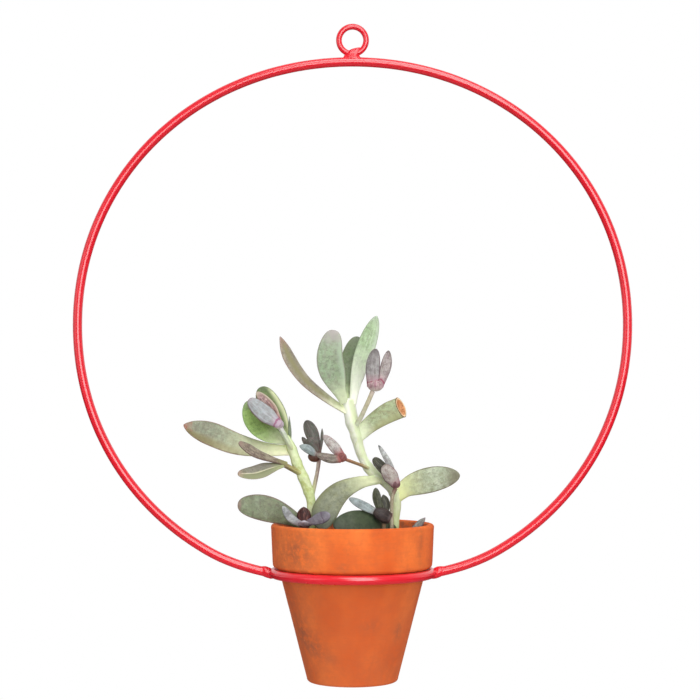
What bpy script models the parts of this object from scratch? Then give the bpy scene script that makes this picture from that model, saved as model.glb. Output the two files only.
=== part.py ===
"""Hanging planter: a round steel hoop with a ring welded between its ends, a terracotta pot that sits
in the ring by its collar, and a young succulent rooted in the pot's soil.

Metres, +Z up. Seen from the front, looking along +Y, +X is to the right and the hoop lies in the XZ
plane. The origin is where the planter hangs: the inside top of the hanging eye.

The steel comes first, from the eye down to the ring, then the pot and its soil, then the plant. The
plant's points are millimetres from the middle of the pot's rim, because the plant lifts out with its
soil, and they are for a pot of PLANTED_LIP: in a wider or a narrower pot the plant is larger or
smaller in step.
"""

import math
from dataclasses import dataclass

import bmesh
import bpy
from mathutils import Matrix, Vector

# Clearances
TOUCH_GAP = 0.0003  # left between two pieces that touch
RING_CLEARANCE = 0.0008  # between the pot's side and the ring, square to the side

# Hanging eye, bent from wire and closed
EYE_WIRE = 0.0040
EYE_BORE = 0.0145

# Hoop and pot ring, bent from one size of rod
ROD_WIDTH = 0.00635
HOOP_WIDTH = 0.3810  # over the outside of the rod
HOOP_HEIGHT = 0.3648  # over the outside of the whole oval, which its ends stop short of
HOOP_SQUARENESS = 2.04  # 2 is an ellipse, and more is squarer
HOOP_END_RUN = 0.0440  # the ends leave the oval this far out from the ring
HOOP_END_RISE = 0.0028  # and meet the ring this far above the oval
HOOP_END_SLOPE = 0.20  # fall of the last of the rod, for one along

# Weld beads
EYE_WELD_WIDTH = 0.0124
EYE_WELD_DEPTH = 0.0066
EYE_WELD_HEIGHT = 0.0074
END_WELD_WIDTH = 0.0088
END_WELD_LENGTH = 0.0086
END_WELD_SET_OUT = 0.0014  # its middle lies this far out from the end of the hoop

# Pot
POT_HEIGHT = 0.1070
RIM_WIDTH = 0.1110
COLLAR_HEIGHT = 0.0300
COLLAR_FLARE = 0.0012  # the collar leans out this much from its foot to the rim
COLLAR_STEP = 0.00405  # its foot stands this far out from the side below
BASE_WIDTH = 0.0610
POT_WALL = 0.0050
RIM_WALL = 0.0046
POT_FLOOR = 0.0065
DRAIN_HOLE = 0.0120
LIP_ROUND = 0.0021
COLLAR_ROUND = 0.0020
BASE_ROUND = 0.0025

# Soil
SOIL_DEPTH = 0.0110  # from the rim down to the soil
SOIL_CROWN = 0.0015  # the middle stands this much above the edge

# Plant
PLANTED_LIP = 50.9  # inside radius at the rim, in the millimetres that the plant's points are in

# Facets
ROUND_STEPS = 48
ROD_SIDES = 12
WIRE_SIDES = 8
STEM_SIDES = 8
HOOP_STEPS = 30  # along half of the oval
HOOP_END_STEPS = 5  # along each end
SPINE_STEPS = 12  # between two points of a leaf's spine
BLADE_STEPS = 7
PETAL_STEPS = 5
BLADE_SIDES = 8
EYE_STEPS = 28
BEAD_STEPS = 12
BEAD_SIDES = 8
CUP_STEPS = 10
CUP_SIDES = 6
POINTED = 0.02  # where a blade is narrower than this share of its width it closes to a point
SAME_POINT = 1e-6

# Heights and radii that follow from the sizes above
ROD_RADIUS = ROD_WIDTH / 2
EYE_RADIUS = (EYE_BORE + EYE_WIRE) / 2
EYE_MIDDLE = -EYE_BORE / 2
HOOP_TOP = -(EYE_BORE + EYE_WIRE) - TOUCH_GAP
HOOP_MIDDLE = HOOP_TOP - HOOP_HEIGHT / 2
OVAL_HALF_WIDTH = HOOP_WIDTH / 2 - ROD_RADIUS
OVAL_HALF_HEIGHT = HOOP_HEIGHT / 2 - ROD_RADIUS
COLLAR_BOTTOM = POT_HEIGHT - COLLAR_HEIGHT
COLLAR_FOOT = RIM_WIDTH / 2 - COLLAR_FLARE
BODY_SLOPE = (COLLAR_FOOT - COLLAR_STEP - BASE_WIDTH / 2) / COLLAR_BOTTOM
LIP = RIM_WIDTH / 2 - RIM_WALL  # inside radius at the rim
MM = LIP / PLANTED_LIP  # length of one of the plant's millimetres


def body_radius(height):
    """Outside radius of the pot below its collar, at a height over its base."""
    return BASE_WIDTH / 2 + BODY_SLOPE * height


def inner_radius(height):
    """Inside radius of the pot, at a height over its base."""
    if height < COLLAR_BOTTOM:
        return body_radius(height) - POT_WALL
    neck = body_radius(COLLAR_BOTTOM) - POT_WALL
    share = (height - COLLAR_BOTTOM) / COLLAR_HEIGHT
    return neck + (LIP - neck) * share


def seat_in_ring():
    """Radius of the ring's middle line, and its height over the pot's base.

    The ring clears the pot's side, and the collar's rounded foot rests on it a touch away.
    Its radius and its height depend on each other, and a few rounds settle both.
    """
    slant = math.hypot(1, BODY_SLOPE)
    reach = COLLAR_ROUND + ROD_RADIUS + TOUCH_GAP
    below = ROD_RADIUS
    for _ in range(8):
        radius = body_radius(COLLAR_BOTTOM - below) + (ROD_RADIUS + RING_CLEARANCE) * slant
        aside = max(0.0, radius - (COLLAR_FOOT - COLLAR_ROUND))
        below = math.sqrt(reach**2 - aside**2) - COLLAR_ROUND
    return radius, COLLAR_BOTTOM - below


RING_RADIUS, RING_ON_POT = seat_in_ring()
HOOP_END = RING_RADIUS + ROD_RADIUS + TOUCH_GAP


def oval_drop(across):
    """How far the lower half of the oval lies below its middle, at a distance from the axis."""
    share = 1 - (across / OVAL_HALF_WIDTH) ** HOOP_SQUARENESS
    return OVAL_HALF_HEIGHT * share ** (1 / HOOP_SQUARENESS)


RING_MIDDLE = HOOP_MIDDLE - oval_drop(HOOP_END) + HOOP_END_RISE
POT_BASE = RING_MIDDLE - RING_ON_POT
RIM_PLANE = POT_BASE + POT_HEIGHT


# Scene helpers


def clear_scene():
    for thing in list(bpy.data.objects):
        bpy.data.objects.remove(thing)


def finish(name, red, green, blue, roughness):
    """A material of one colour and gloss."""
    made = bpy.data.materials.new(name)
    made.use_nodes = True
    shader = made.node_tree.nodes["Principled BSDF"]
    shader.inputs["Base Color"].default_value = (red, green, blue, 1)
    shader.inputs["Roughness"].default_value = roughness
    shader.inputs["Metallic"].default_value = 0.0
    return made


def lift_point(name, height):
    """An empty on the pot's axis that a lifting body hangs from."""
    empty = bpy.data.objects.new(name, None)
    empty.empty_display_size = 0.02
    empty.location = (0, 0, height)
    bpy.context.collection.objects.link(empty)
    return empty


def object_from(name, shape):
    """An object from a bmesh, closed, with its faces turned out."""
    bmesh.ops.remove_doubles(shape, verts=shape.verts, dist=SAME_POINT)
    bmesh.ops.recalc_face_normals(shape, faces=shape.faces)
    mesh = bpy.data.meshes.new(name)
    shape.to_mesh(mesh)
    shape.free()
    made = bpy.data.objects.new(name, mesh)
    bpy.context.collection.objects.link(made)
    return made


def dress(thing, material, parent=None, sharp_angle=40):
    """Gives a finished piece its material, its shading and the empty that it moves with."""
    mesh = thing.data
    mesh.materials.clear()
    mesh.materials.append(material)
    mesh.shade_smooth()
    mesh.set_sharp_from_angle(angle=math.radians(sharp_angle))
    thing.parent = parent
    return thing


def keep_largest(mesh):
    """Deletes the crumbs that a cut leaves beside the piece."""
    shape = bmesh.new()
    shape.from_mesh(mesh)
    left = set(shape.verts)
    groups = []
    while left:
        group = set()
        waiting = [left.pop()]
        while waiting:
            vert = waiting.pop()
            group.add(vert)
            near = {edge.other_vert(vert) for edge in vert.link_edges} & left
            left -= near
            waiting += near
        groups.append(group)

    def reach_of(group):
        spans = zip(*(vert.co for vert in group))
        return sum((max(span) - min(span)) ** 2 for span in map(tuple, spans))

    largest = max(groups, key=reach_of)
    crumbs = [vert for group in groups if group is not largest for vert in group]
    bmesh.ops.delete(shape, geom=crumbs, context="VERTS")
    shape.to_mesh(mesh)
    shape.free()


def combine(thing, tool, operation):
    """Cuts tool out of thing, or adds it, and removes tool."""
    modifier = thing.modifiers.new(operation.lower(), "BOOLEAN")
    modifier.operation = operation
    modifier.object = tool
    modifier.solver = "EXACT"
    depsgraph = bpy.context.evaluated_depsgraph_get()
    mesh = bpy.data.meshes.new_from_object(thing.evaluated_get(depsgraph))
    if operation == "DIFFERENCE":
        keep_largest(mesh)
    thing.modifiers.clear()
    thing.data = mesh
    bpy.data.objects.remove(tool)


def eased(start, leave_way, stop, arrive_way, t):
    """A point at t on the cubic that leaves start and arrives at stop in the given ways."""
    return (
        start * (2 * t**3 - 3 * t**2 + 1)
        + leave_way * (t**3 - 2 * t**2 + t)
        + stop * (3 * t**2 - 2 * t**3)
        + arrive_way * (t**3 - t**2)
    )


def smooth_path(points, steps):
    """Points on one smooth curve through the given ones, with steps between each two."""
    ends = [2 * points[0] - points[1], *points, 2 * points[-1] - points[-2]]
    path = []
    for before, start, stop, after in zip(ends, ends[1:], ends[2:], ends[3:]):
        for step in range(steps):
            path.append(eased(start, (stop - before) / 2, stop, (after - start) / 2, step / steps))
    path.append(points[-1].copy())
    return path


def round_rod(name, path, radii, sides):
    """A round rod along a path, with a radius at each point."""
    curve = bpy.data.curves.new(name, "CURVE")
    curve.dimensions = "3D"
    curve.bevel_depth = 1.0
    curve.bevel_resolution = sides // 2 - 2
    curve.use_fill_caps = True
    spline = curve.splines.new("POLY")
    spline.points.add(len(path) - 1)
    for point, place, radius in zip(spline.points, path, radii):
        point.co = (*place, 1)
        point.radius = radius
    guide = bpy.data.objects.new(name, curve)
    bpy.context.collection.objects.link(guide)
    depsgraph = bpy.context.evaluated_depsgraph_get()
    shape = bmesh.new()
    shape.from_mesh(guide.evaluated_get(depsgraph).to_mesh())
    bpy.data.objects.remove(guide)
    return object_from(name, shape)


def turned(name, profile):
    """A solid turned about the Z axis from a closed or axis-to-axis outline of (radius, height)."""
    shape = bmesh.new()
    verts = [shape.verts.new((radius, 0, height)) for radius, height in profile]
    edges = [shape.edges.new(pair) for pair in zip(verts, verts[1:])]
    if profile[0][0] > 0:
        edges.append(shape.edges.new((verts[-1], verts[0])))
    bmesh.ops.spin(
        shape,
        geom=verts + edges,
        axis=(0, 0, 1),
        cent=(0, 0, 0),
        steps=ROUND_STEPS,
        angle=math.tau,
        use_merge=True,
    )
    return object_from(name, shape)


def torus(name, ring_radius, tube_radius, steps, sides, place, tilt=0.0):
    """A ring of round rod, flat unless it is tilted about X."""
    bpy.ops.mesh.primitive_torus_add(
        major_radius=ring_radius,
        minor_radius=tube_radius,
        major_segments=steps,
        minor_segments=sides,
    )
    made = bpy.context.object
    made.name = name
    made.data.transform(Matrix.Translation(place) @ Matrix.Rotation(tilt, 4, "X"))
    return made


def arc(centre, radius, start, stop, steps):
    """Points on an arc, with its angles in degrees from straight out."""
    points = []
    for step in range(steps + 1):
        angle = math.radians(start + (stop - start) * step / steps)
        points.append((centre[0] + radius * math.cos(angle), centre[1] + radius * math.sin(angle)))
    return points


# Steel: eye, hoop, ring and weld beads


def eye_wire(name, grow=0.0):
    tube = EYE_WIRE / 2 + grow
    return torus(name, EYE_RADIUS, tube, EYE_STEPS, WIRE_SIDES, (0, 0, EYE_MIDDLE), math.pi / 2)


def hoop_half():
    """Middle line of the right half of the hoop, from its top to its end at the ring."""
    leave = HOOP_END + HOOP_END_RUN
    sine = (leave / OVAL_HALF_WIDTH) ** (HOOP_SQUARENESS / 2)
    last = math.pi - math.asin(sine)
    half = []
    for step in range(HOOP_STEPS + 1):
        angle = last * step / HOOP_STEPS
        across = OVAL_HALF_WIDTH * math.sin(angle) ** (2 / HOOP_SQUARENESS)
        up = OVAL_HALF_HEIGHT * abs(math.cos(angle)) ** (2 / HOOP_SQUARENESS)
        half.append(Vector((across, 0, HOOP_MIDDLE + math.copysign(up, math.cos(angle)))))
    start = half[-1]
    stop = Vector((HOOP_END, 0, RING_MIDDLE))
    run = (stop - start).length
    leave_way = (half[-1] - half[-2]).normalized() * run
    arrive_way = Vector((-1, 0, -HOOP_END_SLOPE)).normalized() * run
    for step in range(1, HOOP_END_STEPS + 1):
        half.append(eased(start, leave_way, stop, arrive_way, step / HOOP_END_STEPS))
    return half


def hoop_rod(name, grow=0.0):
    half = hoop_half()
    left = [Vector((-point.x, 0, point.z)) for point in reversed(half[1:])]
    path = left + half
    if grow:
        path = [path[0] + Vector((grow, 0, 0)), *path[1:-1], path[-1] - Vector((grow, 0, 0))]
    return round_rod(name, path, [ROD_RADIUS + grow] * len(path), ROD_SIDES)


def ring_rod(name, grow=0.0):
    place = (0, 0, RING_MIDDLE)
    return torus(name, RING_RADIUS, ROD_RADIUS + grow, ROUND_STEPS, ROD_SIDES, place)


def bead(name, place, width, depth, height, rods):
    """A weld bead: a rounded lump less the rods that it joins."""
    shape = bmesh.new()
    bmesh.ops.create_uvsphere(shape, u_segments=BEAD_STEPS, v_segments=BEAD_SIDES, radius=0.5)
    bmesh.ops.scale(shape, vec=(width, depth, height), verts=shape.verts)
    bmesh.ops.translate(shape, vec=place, verts=shape.verts)
    made = object_from(name, shape)
    for rod in rods:
        combine(made, rod, "DIFFERENCE")
    return made


def build_hanger(paint):
    dress(eye_wire("hanging_eye"), paint)
    dress(hoop_rod("hoop"), paint)
    dress(ring_rod("pot_ring"), paint)
    eye_foot = (0, 0, EYE_MIDDLE - EYE_RADIUS + TOUCH_GAP)
    rods = [eye_wire("eye_cutter", TOUCH_GAP), hoop_rod("hoop_cutter", TOUCH_GAP)]
    size = (EYE_WELD_WIDTH, EYE_WELD_DEPTH, EYE_WELD_HEIGHT)
    dress(bead("eye_weld", eye_foot, *size, rods), paint)
    for name, side in (("left_weld", -1), ("right_weld", 1)):
        place = (side * (HOOP_END + END_WELD_SET_OUT), 0, RING_MIDDLE)
        rods = [ring_rod("ring_cutter", TOUCH_GAP), hoop_rod("hoop_cutter", TOUCH_GAP)]
        size = (END_WELD_LENGTH, END_WELD_WIDTH, END_WELD_WIDTH)
        dress(bead(name, place, *size, rods), paint)


# Pot and soil, with heights over the pot's base


def build_pot(clay, parent):
    rim = RIM_WIDTH / 2
    base_corner = body_radius(BASE_ROUND) - BASE_ROUND
    top_round = POT_HEIGHT - LIP_ROUND
    profile = [(DRAIN_HOLE / 2, 0)]
    profile += arc((base_corner, BASE_ROUND), BASE_ROUND, -90, 0, 3)
    profile.append((body_radius(COLLAR_BOTTOM), COLLAR_BOTTOM))
    collar_corner = (COLLAR_FOOT - COLLAR_ROUND, COLLAR_BOTTOM + COLLAR_ROUND)
    profile += arc(collar_corner, COLLAR_ROUND, -90, 0, 3)
    profile += arc((rim - LIP_ROUND, top_round), LIP_ROUND, 0, 90, 3)
    profile += arc((LIP + LIP_ROUND, top_round), LIP_ROUND, 90, 180, 3)
    profile.append((inner_radius(COLLAR_BOTTOM), COLLAR_BOTTOM))
    profile.append((inner_radius(POT_FLOOR), POT_FLOOR))
    profile.append((DRAIN_HOLE / 2, POT_FLOOR))
    pot = turned("pot", [(radius, height - POT_HEIGHT) for radius, height in profile])
    return dress(pot, clay, parent)


def build_soil(earth, parent, rooted):
    """The root ball, which fills the pot, with a socket for each stem that stands in it."""
    level = POT_HEIGHT - SOIL_DEPTH
    lowest = POT_FLOOR + TOUCH_GAP
    heights = [lowest, COLLAR_BOTTOM, level]
    profile = [(0, lowest)]
    profile += [(inner_radius(height) - TOUCH_GAP, height) for height in heights]
    for share in (0.5, 0):
        profile.append((inner_radius(level) * share, level + SOIL_CROWN * (1 - share**2)))
    soil = turned("soil", [(radius, height - POT_HEIGHT) for radius, height in profile])
    for stem in rooted:
        combine(soil, stem.solid("socket_cutter", TOUCH_GAP), "DIFFERENCE")
    return dress(soil, earth, parent)


# Plant, with points in its own millimetres from the middle of the rim


def grown(points):
    return [Vector(point) * MM for point in points]


@dataclass
class Stem:
    """A round stem or stalk, with its radius at each of its points."""

    points: tuple
    radii: tuple
    steps: int = 2

    def solid(self, name, grow=0.0):
        path = smooth_path(grown(self.points), self.steps)
        radii = []
        for start, stop in zip(self.radii, self.radii[1:]):
            radii += [start + (stop - start) * step / self.steps for step in range(self.steps)]
        radii.append(self.radii[-1])
        if grow:
            path = [path[0] + (path[0] - path[1]).normalized() * grow, *path[1:-1],
                    path[-1] + (path[-1] - path[-2]).normalized() * grow]
        return round_rod(name, path, [radius * MM + grow for radius in radii], STEM_SIDES)


@dataclass
class Blade:
    """A leaf or a petal, lofted along its spine."""

    spine: tuple
    width: float
    thickness: float
    facing: tuple = (0, -1, 0)
    base: float = 0.4  # its width where it starts, as a share of its widest
    widest: float = 0.6  # how far along it is widest
    tip: float = 0.5  # 0.5 ends round, and 1 ends in a point
    cup: float = 0.0  # how far its edges stand up, as a share of half its width
    cut: bool = False  # it ends in a flat cut
    steps: int = BLADE_STEPS

    def share_of_width(self, along):
        if along < self.widest:
            rise = 0.5 - 0.5 * math.cos(math.pi * along / self.widest)
            return self.base + (1 - self.base) * rise
        if self.cut:
            return 1.0
        beyond = (along - self.widest) / (1 - self.widest)
        return max(1 - beyond**2, 0.0) ** self.tip

    def solid(self, name, grow=0.0):
        path = smooth_path(grown(self.spine), SPINE_STEPS)
        facing = Vector(self.facing)
        shape = bmesh.new()
        rings = []
        last = len(path) - 1
        for step in range(self.steps + 1):
            along = math.sin(math.pi / 2 * step / self.steps)
            if self.cut:
                along = step / self.steps
            index = min(round(along * last), last)
            here = path[index]
            way = (path[min(index + 1, last)] - path[max(index - 1, 0)]).normalized()
            side = facing.cross(way).normalized()
            front = way.cross(side)
            share = self.share_of_width(along)
            if step == 0:
                here = here - way * grow
            if share < POINTED:
                rings.append([shape.verts.new(here + way * grow)])
                continue
            thinned = share**0.5 if along > self.widest else 1
            half_width = self.width / 2 * MM * share + grow
            half_depth = self.thickness / 2 * MM * thinned + grow
            ring = []
            for corner in range(BLADE_SIDES):
                angle = math.tau * corner / BLADE_SIDES
                across = math.cos(angle) * half_width
                proud = math.sin(angle) * half_depth + self.cup * across**2 / half_width
                ring.append(shape.verts.new(here + side * across + front * proud))
            rings.append(ring)
        for ring, following in zip(rings, rings[1:]):
            for corner in range(BLADE_SIDES):
                after = (corner + 1) % BLADE_SIDES
                if len(following) == 1:
                    shape.faces.new((ring[corner], ring[after], following[0]))
                else:
                    shape.faces.new((ring[corner], ring[after], following[after], following[corner]))
        shape.faces.new(rings[0])
        if len(rings[-1]) > 1:
            shape.faces.new(rings[-1])
        return object_from(name, shape)


@dataclass
class Bud:
    """A flower bud: petals that stand in one rounded cup."""

    cup_middle: tuple
    cup_radii: tuple
    petals: tuple

    def solid(self, name):
        shape = bmesh.new()
        bmesh.ops.create_uvsphere(shape, u_segments=CUP_STEPS, v_segments=CUP_SIDES, radius=MM)
        bmesh.ops.scale(shape, vec=self.cup_radii, verts=shape.verts)
        bmesh.ops.translate(shape, vec=Vector(self.cup_middle) * MM, verts=shape.verts)
        bud = object_from(name, shape)
        for petal in self.petals:
            combine(bud, petal.solid("petal"), "UNION")
        return bud


def petal(start, middle, end, width, thickness, **shape):
    """A short blade on a spine of three points."""
    return Blade((start, middle, end), width, thickness, steps=PETAL_STEPS, **shape)


STEMS = {
    "left_stem": Stem(
        ((-26, 0, -30), (-27, 0, -10), (-28, 0, 3), (-28.2, 0, 15.5), (-31.8, 0, 27.5), (-37, 0, 39.5),
         (-41.3, 0, 51), (-45.3, 0, 59)),
        (2.6, 3.2, 3.2, 3.1, 3.6, 3.3, 3.2, 2.6),
    ),
    "right_stem": Stem(
        ((28, 4, -32), (28.5, 4, -12), (29, 4, 2), (29.8, 4, 13), (28.3, 4, 21.5), (21.8, 4, 28.2),
         (13.2, 4, 35.5), (7.8, 4, 43.5), (4.6, 4, 52), (2.4, 4, 61), (-0.3, 4, 70), (-3, 4, 84)),
        (2.8, 3.2, 3.0, 3.5, 3.5, 3.1, 3.6, 3.2, 3.5, 4.0, 4.6, 4.4),
    ),
}

# Each stalk, with the stem that it leaves, or None where it stands in the soil
STALKS = {
    "left_bud_stalk": ("left_stem", Stem(
        ((-49, -6.5, 65.5), (-46, -6.4, 60), (-42.7, -4.8, 54), (-40.5, 0, 49)), (1.7, 1.7, 1.7, 1.6))),
    "side_stalk": ("left_stem", Stem(
        ((-48.6, -7, 41.4), (-43.3, -5.5, 38.6), (-38, -2.5, 35.8), (-33, 0, 33.5)), (2.4, 1.9, 2.0, 2.0))),
    "dark_bud_stalk": ("left_stem", Stem(
        ((-22.9, 5, 43.4), (-24, 4.4, 35.4), (-25.9, 2.4, 26), (-28.2, 0, 16)), (1.4, 1.3, 1.4, 1.5))),
    "red_bud_stalk": ("right_stem", Stem(
        ((-4.5, -10, 44), (2, -7, 41.5), (8.6, -2, 38.8), (12.4, 4, 37)), (1.1, 1.1, 1.2, 1.2))),
    "twin_bud_stalk": ("right_stem", Stem(
        ((13.6, -13.5, 90), (9.7, -11, 81), (5.2, -4, 71.5), (1.5, 4, 65)), (1.5, 1.5, 1.6, 1.6))),
    "right_bud_stalk": (None, Stem(
        ((29, -9, 24.5), (26.8, -8.5, 18), (26.5, -8.5, 5), (26.5, -8, -12), (26, -7, -26)),
        (1.5, 1.3, 1.3, 1.4, 1.4))),
    "lower_bud_stalk": (None, Stem(
        ((21, -15, 1), (21, -15, -12), (20.5, -14, -26)), (1.4, 1.4, 1.4))),
    "open_bud_stalk": (None, Stem(
        ((-31.5, -27, -2.2), (-31, -26.5, -12), (-30, -26, -26)), (1.4, 1.4, 1.4))),
}

# Each leaf, with the stem or stalk that it leaves, or None where it stands in the soil
LEAVES = {
    "left_long_leaf": ("left_stem", Blade(
        ((-41, 1, 49.8), (-60.4, 6, 50.6), (-79.7, 10, 54.1), (-98.5, 14, 61), (-116.6, 16, 67)),
        16.6, 3.4,
        facing=(0.1, -1, 0.4), base=0.44, widest=0.7, tip=0.7, cup=0.1)),
    "left_back_leaf": ("left_stem", Blade(
        ((-44, 3, 57), (-49.5, 9, 68.5), (-56.8, 15.5, 80.5), (-63.4, 20, 93.2)), 17, 3.0,
        facing=(0.3, -1, 0.2), base=0.3, widest=0.62, tip=0.44)),
    "left_cupped_leaf": ("left_stem", Blade(
        ((-43.5, -0.4, 55.4), (-56, 2, 60.3), (-66.4, 6, 70.3), (-72, 7, 83.5)), 18, 2.8,
        facing=(0.35, -1, 0.35), base=0.3, widest=0.55, tip=0.5, cup=0.12)),
    "left_spike": ("left_stem", Blade(
        ((-42.6, 0.5, 55), (-42.6, 0, 61), (-42.9, 0, 67), (-43.1, 0, 73.5)), 2.3, 1.7,
        base=0.8, widest=0.4, tip=0.9)),
    "brown_edge_leaf": ("side_stalk", Blade(
        ((-46.8, -6, 43), (-57, -11, 45.2), (-66.2, -15.5, 48.7), (-76.3, -19, 55.8)), 11, 2.4,
        facing=(-0.3, -0.55, 1), base=0.3, widest=0.7, tip=0.4)),
    "left_folded_leaf": ("side_stalk", Blade(
        ((-47.2, -7.8, 39.6), (-56.5, -10, 37.2), (-66, -11.5, 34.6), (-77.5, -12, 34.3)), 10.4, 2.2,
        facing=(0, -1, 0.45), base=0.3, widest=0.6, tip=0.46, cup=0.32)),
    "lower_left_leaf": ("left_stem", Blade(
        ((-28, -1, -4), (-43, -5, 4.9), (-59.6, -8, 11), (-77.6, -10, 13.7)), 17.6, 3.4,
        facing=(0, -1, 0.1), base=0.36, widest=0.66, tip=0.44)),
    "right_long_leaf": ("right_stem", Blade(
        ((-2, 4, 75), (-17.5, 0.5, 84.9), (-32.3, -6, 96.9), (-42.3, -11.5, 111), (-48.9, -15, 127)),
        12, 3.0,
        facing=(0.25, -0.75, 0.75), base=0.5, widest=0.65, tip=0.8, cup=0.12)),
    "round_leaf": ("right_stem", Blade(
        ((-5.6, 0.8, 82.4), (-11.3, -4.5, 96.5), (-15.4, -10.5, 112.5), (-12.7, -14, 131.3)), 18.4, 3.4,
        facing=(0.12, -1, 0.05), base=0.34, widest=0.56, tip=0.38, cup=0.06)),
    "dark_leaf": ("right_stem", Blade(
        ((-4, 7, 82.5), (-2.8, 13.5, 98), (-0.4, 20, 113.4), (3.8, 24, 128.2)), 15, 2.8,
        facing=(-0.1, -1, 0.1), base=0.34, widest=0.6, tip=0.45)),
    "tall_leaf": ("right_stem", Blade(
        ((0, 3.2, 81.5), (3.6, 5.7, 102), (9.6, 9.3, 121.5), (16.7, 13, 142)), 13, 3.4,
        facing=(-0.15, -1, -0.1), base=0.42, widest=0.62, tip=0.6)),
    "edge_leaf": ("right_stem", Blade(
        ((0.6, 7.4, 80), (3.3, 11, 91.5), (7.6, 13, 101), (11, 14, 110)), 10, 1.8,
        facing=(1, -0.1, -0.25), base=0.4, widest=0.5, tip=0.7)),
    "cut_leaf": ("right_stem", Blade(
        ((3, 3.5, 59.5), (13.5, 4.5, 68.5), (24, 6.5, 75.2), (33, 9, 79)), 14.4, 4.0,
        facing=(0, -1, 0.1), base=0.7, widest=0.8, cut=True)),
    "right_leaf": ("right_stem", Blade(
        ((30.5, 3.5, 19), (39.5, 0, 25.8), (55.2, -6, 30.6), (72.5, -11, 33.4)), 17.4, 3.6,
        facing=(0, -1, 0.15), base=0.56, widest=0.6, tip=0.55, cup=0.05)),
    "arching_leaf": ("right_stem", Blade(
        ((19, 2.5, 30), (4.6, -2.8, 27.9), (-8.6, -9.2, 21.9), (-17.6, -13.8, 11), (-21.7, -18, -2.7)),
        17.8, 3.4,
        facing=(0, -1, 0.25), base=0.36, widest=0.78, tip=0.5, cup=0.05)),
    "rim_leaf": ("right_stem", Blade(
        ((29, 2, -4), (17, -12, 1), (2, -20.5, 2), (-13, -24, 0)), 17.5, 3.2,
        facing=(0, -1, 0.35), base=0.34, widest=0.6, tip=0.5)),
    "sprout": (None, Blade(
        ((37, -15, -16), (40, -15.5, -8), (44.5, -16, 0), (49, -16.5, 5.3)), 6.5, 2.2,
        facing=(0, -1, 0), base=0.7, widest=0.4, tip=0.8)),
}

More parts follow.
